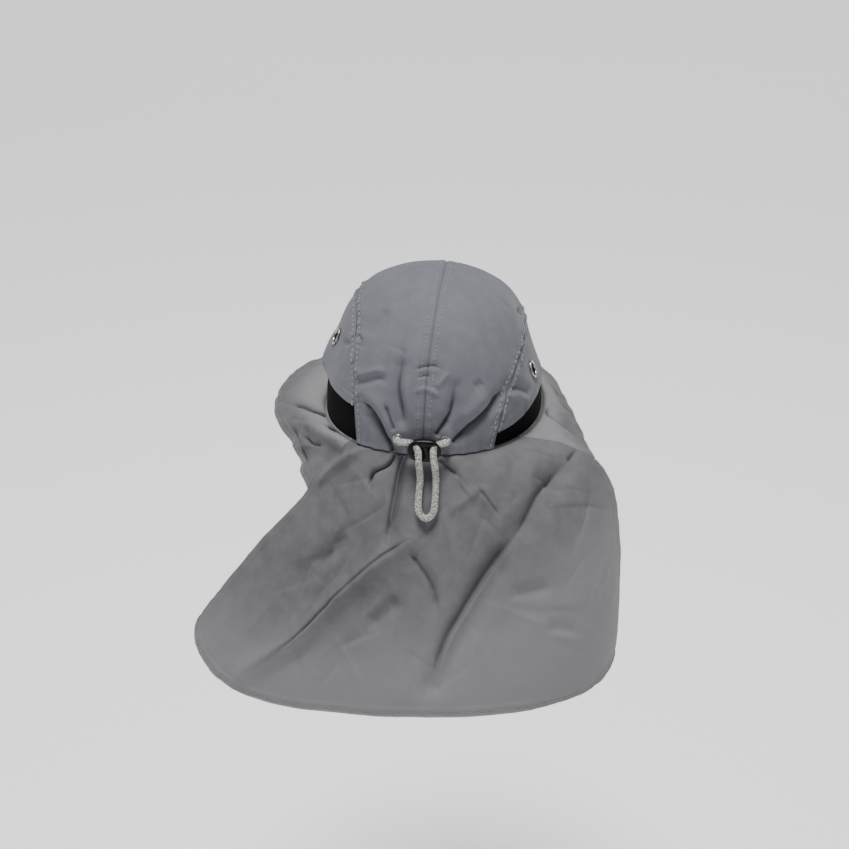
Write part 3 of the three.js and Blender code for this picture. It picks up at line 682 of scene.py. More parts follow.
class Panel:
    """A piece of cloth as a grid of points on its outer face, with their outward normals."""

    def __init__(self, name, points, normals):
        self.name = name
        self.base = points
        self.points = points.copy()
        self.normals = normals
        # What the material paints: wear and painted light that pale the cloth, and painted shade that
        # darkens its creases and seams.
        self.wear_and_painted_light = np.zeros(points.shape[:2])
        self.grime = np.zeros(points.shape[:2])

    def lift(self, amount):
        self.points = self.points + self.normals * amount[..., None]

    def at(self, track):
        """Points at fractional rows and columns of the grid."""
        rows, columns = self.points.shape[:2]
        i = np.clip(track[:, 0], 0, rows - 1.001)
        j = np.clip(track[:, 1], 0, columns - 1.001)
        a, b = i.astype(int), j.astype(int)
        s, t = (i - a)[:, None], (j - b)[:, None]
        p = self.points
        near = mix(p[a, b], p[a, b + 1], t)
        far = mix(p[a + 1, b], p[a + 1, b + 1], t)
        return mix(near, far, s)

    def normal_at(self, track):
        step = 0.5
        down = self.at(track + [step, 0]) - self.at(track - [step, 0])
        across = self.at(track + [0, step]) - self.at(track - [0, step])
        normal = unit(np.cross(down, across))
        rows = np.clip(track[:, 0].round().astype(int), 0, self.points.shape[0] - 1)
        columns = np.clip(track[:, 1].round().astype(int), 0, self.points.shape[1] - 1)
        side = np.sign(np.sum(normal * self.normals[rows, columns], -1))
        return normal * side[:, None]

    def inside(self, edge, distance):
        """The track that runs along an edge of the grid at a distance inside it."""
        rows, columns = self.points.shape[:2]
        track = []
        for k in range(rows if edge in ("left", "right") else columns):
            line = self.points[k] if edge in ("left", "right") else self.points[:, k]
            lengths = arc_lengths(line)
            reach = distance if edge in ("left", "top") else lengths[-1] - distance
            found = np.interp(reach, lengths, np.arange(len(lengths)))
            track.append((k, found) if edge in ("left", "right") else (found, k))
        return np.array(track, float)


def grid_faces(rows, columns, offset=0, flip=False):
    i, j = np.meshgrid(np.arange(rows - 1), np.arange(columns - 1), indexing="ij")
    a = (i * columns + j).ravel() + offset
    faces = np.stack([a, a + columns, a + columns + 1, a + 1], -1)
    return faces[:, ::-1] if flip else faces


def add_object(name, data):
    made = bpy.data.objects.new(name, data)
    bpy.context.scene.collection.objects.link(made)
    return made


def make_mesh(name, points, faces, material, uv=None, values=None):
    """An object from points in millimetres and faces with three or four corners."""
    mesh = bpy.data.meshes.new(name)
    mesh.from_pydata((np.asarray(points) * MM).tolist(), [], [list(map(int, f)) for f in faces])
    mesh.polygons.foreach_set("use_smooth", np.ones(len(mesh.polygons), bool))
    if uv is not None:
        layer = mesh.uv_layers.new(name="weave")
        corners = np.empty(len(mesh.loops), np.int32)
        mesh.loops.foreach_get("vertex_index", corners)
        layer.data.foreach_set("uv", np.asarray(uv, np.float32)[corners].ravel())
    for label, value in (values or {}).items():
        layer = mesh.attributes.new(label, "FLOAT", "POINT")
        layer.data.foreach_set("value", np.asarray(value, np.float32))
    mesh.materials.append(material)
    return add_object(name, mesh)


def grid_normals(points, like):
    down = np.gradient(points, axis=0)
    across = np.gradient(points, axis=1)
    normal = unit(np.cross(down, across))
    side = np.sign(np.sum(normal * like, -1).sum())
    return normal * side


def rim_order(rows, columns):
    """The places of a grid's outermost points, once round."""
    first = np.arange(columns)
    right = np.arange(1, rows) * columns + columns - 1
    last = (rows - 1) * columns + np.arange(columns - 2, -1, -1)
    return np.concatenate([first, right, last, np.arange(rows - 2, 0, -1) * columns])


def away_from(places, centre, axis, radius, reach=6.0):
    """Which places lie outside a hole, or further than its reach along its axis."""
    off = places - centre
    depth = off @ axis
    beside = np.linalg.norm(off - depth[:, None] * axis, axis=1)
    return (beside > radius) | (np.abs(depth) > reach)


def cloth_object(panel, thickness, material, holes=()):
    """A closed piece of cloth: its outer face, its inner face and rounded edges between them."""
    rows, columns = panel.points.shape[:2]
    normals = grid_normals(panel.points, panel.normals)
    outer = panel.points.reshape(-1, 3)
    inner = (panel.points - normals * thickness)[::2, ::2].reshape(-1, 3)
    count = rows * columns
    corner = panel.points[0, 0]
    turn = np.cross(panel.points[1, 0] - corner, panel.points[0, 1] - corner)
    flip = np.sum(turn * panel.normals[0, 0]) < 0
    cells = grid_faces(rows, columns, 0, flip)
    inner_rows, inner_columns = (rows + 1) // 2, (columns + 1) // 2
    inner_cells = grid_faces(inner_rows, inner_columns, 0, not flip)
    shown, lining = np.ones(len(cells), bool), np.ones(len(inner_cells), bool)
    for centre, axis, radius in holes:
        shown &= away_from(outer[cells].mean(1), centre, axis, radius)
        lining &= away_from(inner[inner_cells].mean(1), centre, axis, radius)
    faces = cells[shown].tolist() + (inner_cells[lining] + count).tolist()
    ring = rim_order(rows, columns)
    along = unit(outer[np.roll(ring, -1)] - outer[np.roll(ring, 1)])
    outward = np.cross(along, normals.reshape(-1, 3)[ring])
    if np.dot(outward[0], outer[ring[0]] - panel.points[1, 1]) < 0:
        outward = -outward
    bulge = outer[ring] + (outward * 0.4 - normals.reshape(-1, 3)[ring] * 0.5) * thickness
    first = count + len(inner)
    inner_ring = rim_order(inner_rows, inner_columns) + count
    for k in range(0, len(ring), 2):
        a, b, c = first + k, first + k + 1, first + (k + 2) % len(ring)
        near, far = inner_ring[k // 2], inner_ring[(k // 2 + 1) % len(inner_ring)]
        parts = [
            (ring[k], ring[k + 1], b, a),
            (ring[k + 1], ring[(k + 2) % len(ring)], c, b),
            (a, b, c, far, near),
        ]
        faces += [part if flip else part[::-1] for part in parts]
    points = np.concatenate([outer, inner, bulge])
    uv_across = np.stack([arc_lengths(row) for row in panel.points])
    uv_down = np.stack([arc_lengths(column) for column in panel.points.swapaxes(0, 1)], 1)
    uv = np.stack([uv_across, uv_down], -1)
    uv = np.concatenate([uv.reshape(-1, 2), uv[::2, ::2].reshape(-1, 2), uv.reshape(-1, 2)[ring]])
    values = {}
    # Wear with painted light, and painted shade, pass to the material on the outer face and its rim.
    for label, value in (("wear_and_painted_light", panel.wear_and_painted_light), ("grime", panel.grime)):
        flat = value.ravel()
        values[label] = np.concatenate([flat, np.zeros(len(inner)), flat[ring]])
    return make_mesh(f"{panel.name}_cloth", points, faces, material, uv, values)


# Materials.
def linear(red, green, blue):
    """A colour given as sRGB from 0 to 255."""
    share = np.array([red, green, blue]) / 255
    value = np.where(share <= 0.04045, share / 12.92, ((share + 0.055) / 1.055) ** 2.4)
    return (*value.tolist(), 1.0)


def base_material(name, colour, roughness, metallic=0.0):
    material = bpy.data.materials.new(name)
    material.use_nodes = True
    shader = material.node_tree.nodes["Principled BSDF"]
    shader.inputs["Base Color"].default_value = colour
    shader.inputs["Roughness"].default_value = roughness
    shader.inputs["Metallic"].default_value = metallic
    return material, material.node_tree, shader


def feed(tree, socket, value):
    """Gives a socket another socket's value or a constant."""
    if isinstance(value, bpy.types.NodeSocket):
        tree.links.new(value, socket)
    else:
        socket.default_value = value


def feed_all(tree, target, inputs):
    for name, value in inputs.items():
        feed(tree, target.inputs[name], value)


def mixed(tree, factor, first, second):
    """A colour mix. Each of its inputs is a socket or a constant."""
    made = tree.nodes.new("ShaderNodeMix")
    made.data_type = "RGBA"
    for index, value in ((0, factor), (6, first), (7, second)):
        feed(tree, made.inputs[index], value)
    return made.outputs[2]


def calc(tree, operation, *values):
    made = tree.nodes.new("ShaderNodeMath")
    made.operation = operation
    for socket, value in zip(made.inputs, values):
        feed(tree, socket, value)
    return made.outputs[0]


def scaled(tree, value, scale, offset=0.0):
    return calc(tree, "ADD", calc(tree, "MULTIPLY", value, scale), offset)


def ramp(tree, value, low, high):
    """A value stretched so that low becomes 0 and high becomes 1."""
    made = tree.nodes.new("ShaderNodeMapRange")
    feed_all(tree, made, {"Value": value, "From Min": low, "From Max": high})
    return made.outputs["Result"]


def object_noise(tree, scale, detail=3.0):
    place = tree.nodes.new("ShaderNodeTexCoord").outputs["Object"]
    made = tree.nodes.new("ShaderNodeTexNoise")
    feed_all(tree, made, {"Vector": place, "Scale": scale, "Detail": detail, "Roughness": 0.55})
    return made.outputs[0]


def bumped(tree, height, strength, distance):
    """A bump in a surface that follows a height."""
    made = tree.nodes.new("ShaderNodeBump")
    feed_all(tree, made, {"Height": height, "Strength": strength, "Distance": distance})
    return made


def attribute(tree, name):
    made = tree.nodes.new("ShaderNodeAttribute")
    made.attribute_name = name
    return made.outputs["Fac"]


def parts_of(tree, vector):
    made = tree.nodes.new("ShaderNodeSeparateXYZ")
    feed(tree, made.inputs[0], vector)
    return made.outputs


def weave_place(tree):
    """Where a point lies across and down its cloth, in millimetres."""
    place = tree.nodes.new("ShaderNodeUVMap")
    place.uv_map = "weave"
    return parts_of(tree, place.outputs["UV"])[:2]


def weave_height(tree, pitch):
    """A plain weave of threads at that pitch in millimetres, on the mesh's own map."""
    turn = math.pi / pitch
    across, down = [
        calc(tree, "SINE", calc(tree, "MULTIPLY", place, turn)) for place in weave_place(tree)
    ]
    over = calc(tree, "MULTIPLY", across, down)
    ribs = calc(tree, "MULTIPLY", calc(tree, "ABSOLUTE", across), calc(tree, "ABSOLUTE", down))
    return calc(tree, "ADD", calc(tree, "MULTIPLY", over, 0.3), ribs)


def shaded(colour, share):
    """A colour made darker or lighter."""
    return (*[min(c * share, 1.0) for c in colour[:3]], 1.0)


def cloth_material(name, colour, worn_and_lit_colour):
    """Woven cloth: uneven in tone, paler where it is worn and where light is painted on, and darker
    where shade is painted into its creases and seams.
    """
    material, tree, shader = base_material(name, colour, 0.78)
    broad = ramp(tree, object_noise(tree, 16.0), 0.3, 0.7)
    fine = ramp(tree, object_noise(tree, 420.0, 2.0), 0.25, 0.75)
    slub = ramp(tree, object_noise(tree, 90.0, 4.0), 0.35, 0.65)
    dark = shaded(colour, 0.9)
    tone = mixed(tree, broad, dark, shaded(colour, 1.08))
    tone = mixed(tree, calc(tree, "MULTIPLY", slub, 0.25), tone, worn_and_lit_colour)
    tone = mixed(tree, calc(tree, "MULTIPLY", fine, 0.18), tone, dark)
    # Paler with wear at the hems, and with painted light on the flap's lower part and the brim's top.
    tone = mixed(tree, attribute(tree, "wear_and_painted_light"), tone, worn_and_lit_colour)
    # Painted shade: creases and seams are darkened towards a copy of the colour at 0.42 of it.
    grime = calc(tree, "MULTIPLY", attribute(tree, "grime"), 0.6)
    height = calc(tree, "ADD", weave_height(tree, WEAVE_PITCH), calc(tree, "MULTIPLY", fine, 0.6))
    threads = bumped(tree, height, 0.35, 0.0002)
    dents = bumped(tree, object_noise(tree, 120.0), 0.2, 0.0012)
    tree.links.new(threads.outputs["Normal"], dents.inputs["Normal"])
    feed_all(tree, shader, {
        "Base Color": mixed(tree, grime, tone, shaded(colour, 0.42)),
        "Roughness": scaled(tree, broad, 0.1, 0.7),
        "Sheen Weight": 0.08,
        "Sheen Roughness": 0.45,
        "Specular IOR Level": 0.35,
        "Normal": dents.outputs["Normal"],
    })
    return material


def net_material():
    """Black net with round holes between its threads, painted darker as shade seen through them."""
    colour = linear(11, 11, 12)
    material, tree, shader = base_material("vent net", colour, 0.9)
    turn = 2 * math.pi / NET_PITCH
    across, down = [calc(tree, "MULTIPLY", place, turn) for place in weave_place(tree)]
    one = calc(tree, "COSINE", calc(tree, "ADD", across, down))
    two = calc(tree, "COSINE", calc(tree, "SUBTRACT", across, down))
    holes = ramp(tree, calc(tree, "ADD", one, two), 0.1, 1.2)
    feed_all(tree, shader, {
        # The holes take a darker black: painted shade from inside the cap.
        "Base Color": mixed(tree, holes, colour, linear(4, 4, 5)),
        "Specular IOR Level": 0.1,
        "Normal": bumped(tree, calc(tree, "SUBTRACT", 1.0, holes), 0.8, 0.0004).outputs["Normal"],
    })
    return material


def spotted_material(name, colour, other, rough, spots, bump, metallic=0.0, more=None):
    """A surface that takes another colour and more roughness in spots.

    Rough is what the spots add to its least roughness, and that least. Spots are the scale, the
    detail and the levels of their noise. Bump is its noise's scale and detail, and its strength.
    More is any other setting of the shader.
    """
    material, tree, shader = base_material(name, colour, rough[1], metallic)
    level = ramp(tree, object_noise(tree, *spots[:2]), *spots[2:])
    relief = bumped(tree, object_noise(tree, *bump[:2]), bump[2], 0.0002)
    feed_all(tree, shader, {
        "Base Color": mixed(tree, level, colour, other),
        "Roughness": scaled(tree, level, *rough),
        "Normal": relief.outputs["Normal"],
        **(more or {}),
    })
    return material


def metal_material(name, colour, tarnish):
    spots, bump = (500.0, 5.0, 0.4, 0.62), (1500.0, 3.0, 0.15)
    return spotted_material(name, colour, tarnish, (0.3, 0.24), spots, bump, 1.0)


def lock_material():
    colours = linear(8, 9, 8), linear(14, 15, 14)
    spots, bump = (220.0, 4.0, 0.35, 0.7), (2200.0, 2.0, 0.12)
    more = {"Specular IOR Level": 0.25}
    return spotted_material("satin black plastic", *colours, (0.14, 0.28), spots, bump, more=more)


def thread_material(name, colour, other):
    spots, bump = (700.0, 2.0, 0.35, 0.65), (3500.0, 2.0, 0.5)
    more = {"Sheen Weight": 0.3}
    return spotted_material(name, colour, other, (0.0, 0.7), spots, bump, more=more)


# Camera first, then the cord.
def add_camera():
    data = bpy.data.cameras.new("photo camera")
    data.sensor_width = SENSOR
    data.lens = FOCAL_PIXELS / FRAME_PIXELS * SENSOR
    data.shift_x = 0.5 - ORIGIN_PIXEL[0] / FRAME_PIXELS
    data.shift_y = ORIGIN_PIXEL[1] / FRAME_PIXELS - 0.5
    data.clip_start = 0.01
    data.clip_end = 20
    camera = add_object("photo camera", data)
    turned = Matrix([Vector(VIEW_RIGHT), Vector(VIEW_UP), Vector(VIEW_BACK)]).transposed().to_4x4()
    camera.matrix_world = Matrix.Translation(Vector(VIEW_BACK * VIEW_DISTANCE * MM)) @ turned
    bpy.context.scene.camera = camera


def curve_through(route, spacing):
    """The smooth curve through a route's points, the same one as the model's, at even steps."""
    dense = smooth_curve(route, 24, 0.5)
    lengths = arc_lengths(dense)
    count = max(int(round(lengths[-1] / spacing)), 2)
    places = np.linspace(0, lengths[-1], count + 1)
    return interpolated(dense, lengths, places)


def moving_frames(line):
    """Tangents of a line with two directions square to them that don't twist along it."""
    tangents = unit(np.gradient(line, axis=0))
    side = unit(np.cross(tangents[0], [0.3, 0.2, 1.0]))
    sides = []
    for tangent in tangents:
        side = unit(side - tangent * np.dot(side, tangent))
        sides.append(side)
    sides = np.array(sides)
    return tangents, sides, np.cross(tangents, sides)


def ring_faces(rings, corners, offset=0, closed=False):
    """Faces between rings of corners that follow each other, and over both ends unless closed."""
    faces = []
    for i in range(rings if closed else rings - 1):
        here = offset + i * corners
        following = offset + (i + 1) % rings * corners
        for k in range(corners):
            beside = (k + 1) % corners
            faces.append((here + k, here + beside, following + beside, following + k))
    if not closed:
        first = list(range(offset, offset + corners))
        faces += [first[::-1], [corner + (rings - 1) * corners for corner in first]]
    return faces


def tube(centres, sides, ups, radius_across, radius_up, corners, offset):
    """The points and faces of a tube with an oval section and closed ends."""
    turns = np.linspace(0, 2 * np.pi, corners, endpoint=False)
    across = sides[:, None] * (np.cos(turns) * radius_across)[None, :, None]
    up = ups[:, None] * (np.sin(turns) * radius_up)[None, :, None]
    points = (centres[:, None] + across + up).reshape(-1, 3)
    return points, ring_faces(len(centres), corners, offset)


def braided_cord(light, dark):
    """The draw cord: strands that wind both ways round a core, each over and under the others."""
    strand_up = 0.42
    strand_across = 0.68
    wave = 0.3
    middle = CORD_DIAMETER / 2 - strand_up - wave
    pitch = 13.0
    strands = 6
    line = curve_through(CORD_ROUTE, 0.3)
    _, sides, ups = moving_frames(line)
    lengths = arc_lengths(line)
    wound = 2 * np.pi * lengths / pitch

    # The core takes the dark material: painted shade between the strands.
    core, faces = tube(line[::3], sides[::3], ups[::3], middle, middle, 8, 0)
    points = [core]
    in_core = [1] * len(faces)
    count = len(core)
    for way in (1, -1):
        for strand in range(strands):
            turn = 2 * np.pi * strand / strands + way * wound
            over = way * np.cos(strands * wound)
            turn = turn + 0.09 * noise(line + 40.0 * strand, 3.0, 71)
            outward = sides * np.cos(turn)[:, None] + ups * np.sin(turn)[:, None]
            rough = 0.16 * noise(line - 30.0 * strand * way, 2.2, 72) + 0.14 * noise(line, 6.0, 73)
            centres = line + outward * (middle + wave * over + rough)[:, None]
            across = unit(np.cross(outward, unit(np.gradient(centres, axis=0))))
            made = tube(centres, across, outward, strand_across, strand_up, 6, count)
            points.append(made[0])
            faces += made[1]
            in_core += [0] * len(made[1])
            count += len(made[0])
    cord = make_mesh("braided_cord", np.concatenate(points), faces, light)
    cord.data.materials.append(dark)
    cord.data.polygons.foreach_set("material_index", in_core)
    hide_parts("draw_cord")
    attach(cord, "root")
    return cord, line, lengths[-1]


def stitches(name, rows, material, pitch=2.7, length=1.9, width=0.36, proud=0.16):
    """Threads that show along tracks on panels: rows of short rounded stitches."""
    corners = 6
    around = np.linspace(0, 2 * np.pi, corners, endpoint=False)
    shape = [(-0.5, 0.35), (-0.36, 0.9), (0.0, 1.0), (0.36, 0.9), (0.5, 0.35)]
    points, faces = [], []
    random = np.random.default_rng(len(name))
    for panel, track in rows:
        line = panel.at(track)
        lengths = arc_lengths(line)
        steps = np.arange(len(line))
        count = int(lengths[-1] / pitch)
        if count < 2:
            continue
        places = (np.arange(count) + 0.5) * lengths[-1] / count
        places += random.uniform(-0.12, 0.12, count)
        index = np.interp(places, lengths, steps)
        low = np.clip(index.astype(int), 0, len(track) - 2)
        spots = mix(track[low], track[low + 1], (index - low)[:, None])
        start = interpolated(line, steps, np.interp(places - length / 2, lengths, steps))
        end = interpolated(line, steps, np.interp(places + length / 2, lengths, steps))
        middle = panel.at(spots)
        normal = panel.normal_at(spots)
        along = unit(end - start)
        across = unit(np.cross(normal, along))
        for k in range(count):
            faces += ring_faces(len(shape), corners, len(points))
            for share, swell in shape:
                centre = middle[k] + along[k] * length * share + normal[k] * proud * 0.4 * swell
                for turn in around:
                    beside = across[k] * math.cos(turn) * width * swell
                    points.append(centre + beside + normal[k] * math.sin(turn) * proud * 1.6 * swell)
    made = make_mesh(name, points, faces, material)
    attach(made, "root")
    return made


def crown_panel(name, side, seam_top):
    """A top panel's grid: rows over the head from back to front, columns from middle to side."""
    rows, columns = CROWN_GRID
    arch = np.linspace(0, 1, rows) ** BACK_FINENESS * np.pi
    across = np.linspace(0, 1, columns)[None, :] * seam_across(seam_top, arch)[:, None]
    form = crown_form(across, arch[:, None])
    form[..., 0] *= side
    return Panel(name, crown_point(form), crown_normal(form))


def side_panel(name, side, seam_top, hem):
    """A side panel's grid: rows from back to front, columns from the hem up to the side seam."""
    rows, columns = SIDE_GRID
    first, last = arch_above(seam_top, hem, 0), arch_above(seam_top, hem, np.pi)
    arch = np.linspace(first, last, rows)
    form_top = crown_form(seam_across(seam_top, arch), arch)
    angle = angle_of(form_top)
    low = hem_height(hem, angle)
    share = np.linspace(0, 1, columns)[None, :]
    form = crown_at(angle[:, None], mix(low[:, None], form_top[:, 2][:, None], share))
    form[..., 0] *= side
    return Panel(name, crown_point(form), crown_normal(form))


def arch_above(seam_top, hem, start):
    """The first arch angle from one end of a side seam at which the seam is above the hem."""
    low, high = start, np.pi / 2
    for _ in range(40):
        middle = (low + high) / 2
        seam = crown_form(seam_across(seam_top, middle), middle)
        if seam[2] > hem_height(hem, angle_of(seam)) + 1.0:
            high = middle
        else:
            low = middle
    return high


def with_landing(points, normals):
    """Adds the rim that lies under the crown's edge to a skirt grid."""
    inward = -unit(points[:, :1] * [1.0, 1.0, 0.0])
    steps = np.linspace(LANDING, 0, LANDING_COLUMNS, endpoint=False)[None, :, None]
    rim = points[:, :1] + inward * steps
    flat = np.broadcast_to(normals[:, :1], rim.shape)
    return np.concatenate([rim, points], 1), np.concatenate([flat, normals], 1)


def corner_rise(past_end, width, height):
    """How far the hem rises to round a corner, as a share of the flap's length."""
    t = np.clip(1 + past_end / width, 0, 1)
    return height * (1 - np.sqrt(1 - t**2))


def flap_panel():
    """The neck flap's grid: rows from its right side round to its left, columns from seam to edge."""
    angle = np.linspace(FLAP_RIGHT_END, FLAP_LEFT_END, FLAP_GRID_ROWS)[:, None]
    notch = np.linspace(RIGHT_NOTCH, LEFT_NOTCH, FLAP_GRID_ROWS)[:, None]
    upper = notch * np.linspace(0, 1, UPPER_COLUMNS + 1)[None, :]
    edge = 1 - corner_rise(angle - FLAP_LEFT_END, *LEFT_CORNER)
    edge = edge - corner_rise(FLAP_RIGHT_END - angle, *RIGHT_CORNER)
    lower = mix(notch, edge, np.linspace(0, 1, LOWER_COLUMNS + 1)[None, 1:])
    share = np.concatenate([upper, lower], 1)
    points, normals = skirt_point(flap_form, angle, share), skirt_normal(flap_form, angle, share)
    return Panel("neck_flap", *with_landing(points, normals))


def brim_panel():
    """The brim's grid: rows from the left join round the front to the right one."""
    angle = np.linspace(FLAP_LEFT_END, RIGHT_JOIN, BRIM_GRID_ROWS)[:, None]
    share = np.linspace(0, 1, UPPER_COLUMNS + 1)[None, :]
    points, normals = skirt_point(brim_form, angle, share), skirt_normal(brim_form, angle, share)
    return Panel("brim", *with_landing(points, normals))


def join_skirt(flap, brim):
    """Makes the brim and the flap meet at their joins, and smooths the cloth across them."""
    last = NOTCH + 1
    for left in (True, False):
        flap_side = flap.points[::-1] if left else flap.points
        brim_side = brim.points if left else brim.points[::-1]
        patch = np.concatenate([flap_side[JOIN_REACH:0:-1, :last], brim_side[: JOIN_REACH + 1]], 0)
        patch[JOIN_REACH] = (flap_side[0, :last] + brim_side[0]) / 2
        fixed = patch.copy()
        from_join = np.abs(np.arange(len(patch)) - JOIN_REACH) / JOIN_REACH
        weight = np.clip(1 - from_join, 0, 1)[:, None, None]
        for _ in range(JOIN_PASSES):
            smooth = patch.copy()
            smooth[1:-1] = (patch[:-2] + patch[2:]) / 2
            patch = mix(patch, smooth, 0.5 * (weight > 0))
        patch = mix(fixed, patch, smooth_step(weight * 2))
        flap_side[JOIN_REACH:0:-1, :last] = patch[:JOIN_REACH]
        flap_side[0, :last] = patch[JOIN_REACH]
        brim_side[: JOIN_REACH + 1] = patch[JOIN_REACH:]


def free_edge(flap, brim):
    """The skirt's whole hem line: the brim's edge, then the flap's side, bottom and other side."""
    right_side = flap.points[0, NOTCH:]
    left_side = flap.points[-1, NOTCH:][::-1]
    line = np.concatenate([brim.points[:, -1], right_side[1:], flap.points[1:, -1], left_side[1:-1]])
    lengths = arc_lengths(line)
    places = np.linspace(0, lengths[-1], int(lengths[-1]))
    return interpolated(line, lengths, places)


def nearest_on(line, points):
    """For each point, its distance to a line and how far along the line that is."""
    tree = KDTree(len(line))
    for k, place in enumerate(line):
        tree.insert(place, k)
    tree.balance()
    lengths = arc_lengths(line)
    flat = points.reshape(-1, 3)
    distance = np.empty(len(flat))
    along = np.empty(len(flat))
    for k, place in enumerate(flat):
        _, found, away = tree.find(place)
        distance[k] = away
        along[k] = lengths[found]
    return distance.reshape(points.shape[:-1]), along.reshape(points.shape[:-1])


def edge_noise(place, seed):
    """Noise along a line, one bump to a unit."""
    return noise(stacked(place, 0.0, 0.0), 1.0, seed)


def hem_shape(distance, along, seed):
    """How a turned and stitched hem lifts the cloth beside its edge."""
    band = HEM_RISE * (1 - smooth_step((distance - HEM_WIDTH + 0.7) / 1.4))
    groove = -HEM_GROOVE * bell(distance - HEM_STITCH, 0.75)
    place = along / HEM_WAVE
    waver = edge_noise(place, seed) + 0.6 * edge_noise(place * 2.1, seed + 1)
    pucker = HEM_PUCKER * waver * bell(distance - HEM_STITCH, 6.0)
    return band + groove + pucker


def hem_wear(distance):
    return 0.7 * bell(distance, 1.3)


def edge_distance(panel, edge):
    """Distance of each of a panel's points from an edge of its grid, along its rows or columns."""
    points = panel.points if edge in ("left", "right") else panel.points.swapaxes(0, 1)
    lengths = np.stack([arc_lengths(line) for line in points])
    if edge in ("right", "bottom"):
        lengths = lengths[:, -1:] - lengths
    return lengths if edge in ("left", "right") else lengths.T


def seam_shape(distance, along, seed, ripple):
    """A sewn seam: a groove between two panels, with the cloth raised over the turned edges."""
    band = SEAM_RISE * (1 - smooth_step((distance - SEAM_WIDTH) / 1.2))
    groove = -SEAM_GROOVE * bell(distance, 0.9)
    stitched = -STITCH_GROOVE * bell(distance - SEAM_STITCH, 0.6)
    place = along / SEAM_WAVE
    pucker = 0.3 * edge_noise(place, seed) * bell(distance, 9.0)
    pucker += ripple * edge_noise(place * 2.6, seed + 2) * bell(distance - 3.5, 3.5)
    return band + groove + stitched + pucker


def soft_cloth(panel, seed, amount, count, length):
    """The unevenness of worn cloth: broad swells, then creases."""
    swell = 0.8 * noise(panel.base, 40.0, seed) + 0.36 * noise(panel.base, 16.0, seed + 1)
    strewn = creases(panel.base, seed, count, length)
    return amount * (swell + strewn)


def shape_crown(left, right, side_left, side_right):
    """Lifts the crown's four panels by their seams, hems, gathers and folds."""
    for panel, seed in ((left, 3), (right, 4)):
        base = panel.base
        angle = angle_of(base - [0, 0, GAP])
        gathered = bell(base[..., 2], GATHER_HEIGHT) * smooth_step((GATHER_REACH - np.abs(angle)) / 8)
        waves = np.radians(angle) * GATHER_WAVES + 2.0 * noise(base, 20.0, 9)
        gathers = GATHER_DEPTH * np.sin(waves) * gathered
        centre = edge_distance(panel, "left")
        outer = edge_distance(panel, "right")
        along = edge_distance(panel, "top")
        lift = soft_cloth(panel, seed, CROWN_SOFTNESS, 26, 30.0) * smooth_step(centre / 14)
        lift = lift * smooth_step(outer / 10) + gathers * smooth_step(centre / 5)
        lift += seam_shape(centre, along, 21, CENTRE_RIPPLE)
        lift += seam_shape(outer, along, 31 + seed, SIDE_RIPPLE)
        seen, grime = picture_folds(base, panel.normals, panel.name)
        lift += seen * smooth_step(outer / 5) + BASE_ROLL * bell(base[..., 2], 2.5)
        # Painted shade in the folds' creases and along the seams' grooves.
        panel.grime = np.maximum(grime, SEAM_PAINTED_SHADE * bell(np.minimum(centre, outer), 0.8))
        hem = LEFT_HEM if panel is left else RIGHT_HEM
        by_end = smooth_step((np.abs(angle) - BAND_START + 6) / 5)
        by_top = smooth_step((hem_height(hem, np.abs(angle)) + BAND_OVERLAP + 7 - base[..., 2]) / 5)
        panel.lift(mix(lift, np.maximum(lift, -0.2), by_end * by_top))
    for panel, seed in ((side_left, 5), (side_right, 6)):
        hem = edge_distance(panel, "left")
        outer = edge_distance(panel, "right")
        along = edge_distance(panel, "top")
        inner = smooth_step(hem / 10) * smooth_step(outer / 10)
        lift = soft_cloth(panel, seed, CROWN_SOFTNESS, 12, 24.0) * inner
        lift += seam_shape(outer, along, 29 + seed, SIDE_RIPPLE)
        lift += hem_shape(hem, along, 41 + seed) * 0.8
        seen, grime = picture_folds(panel.base, panel.normals, panel.name)
        lift += seen * inner
        # Painted shade in the folds' creases and along the side seam's groove.
        panel.grime = np.maximum(grime, SEAM_PAINTED_SHADE * bell(outer, 0.8))
        panel.lift(lift)


def shape_skirt(flap, brim):
    """Lifts the flap and the brim by their folds and hems, and joins them."""
    for panel in (flap, brim):
        past_seam = edge_distance(panel, "left") - LANDING
        from_seam = np.maximum(past_seam, 0)
        lift = soft_cloth(panel, 7, SKIRT_SOFTNESS, 90, 60.0) * smooth_step(from_seam / 25)
        seen, grime = picture_folds(panel.base, panel.normals, panel.name)
        groove = bell(past_seam - 0.6, 1.3)
        panel.lift(lift + seen * smooth_step(from_seam / 4) - SEAM_GROOVE * groove)
        # Painted shade in the folds' creases and in the groove by the base seam.
        panel.grime = np.maximum(grime, groove)
        # Painted light: the flap's lower part and the brim's top are made paler.
        panel.wear_and_painted_light = PAINTED_LIGHT[panel.name](panel.base, from_seam)
    join_skirt(flap, brim)
    line = free_edge(flap, brim)
    for panel in (flap, brim):
        distance, along = nearest_on(line, panel.points)
        panel.normals = grid_normals(panel.points, panel.normals)
        panel.lift(hem_shape(distance, along, 51))
        panel.wear_and_painted_light = np.clip(panel.wear_and_painted_light + hem_wear(distance), 0, 1)
    join_skirt_edges(flap, brim)


def flap_painted_light(points, from_seam):
    """Painted light: the flap is paler towards its lower edge, and sooner on the wearer's right."""
    past_start = from_seam - FLAP_LIGHT_START - FLAP_LIGHT_SLANT * points[..., 0]
    return 0.85 * smooth_step(past_start / FLAP_LIGHT_WIDTH)


def brim_painted_light(points, from_seam):
    """Painted light: the brim is palest on top."""
    return 0.9 * smooth_step((points[..., 2] + 14) / 12)


PAINTED_LIGHT = {"neck_flap": flap_painted_light, "brim": brim_painted_light}


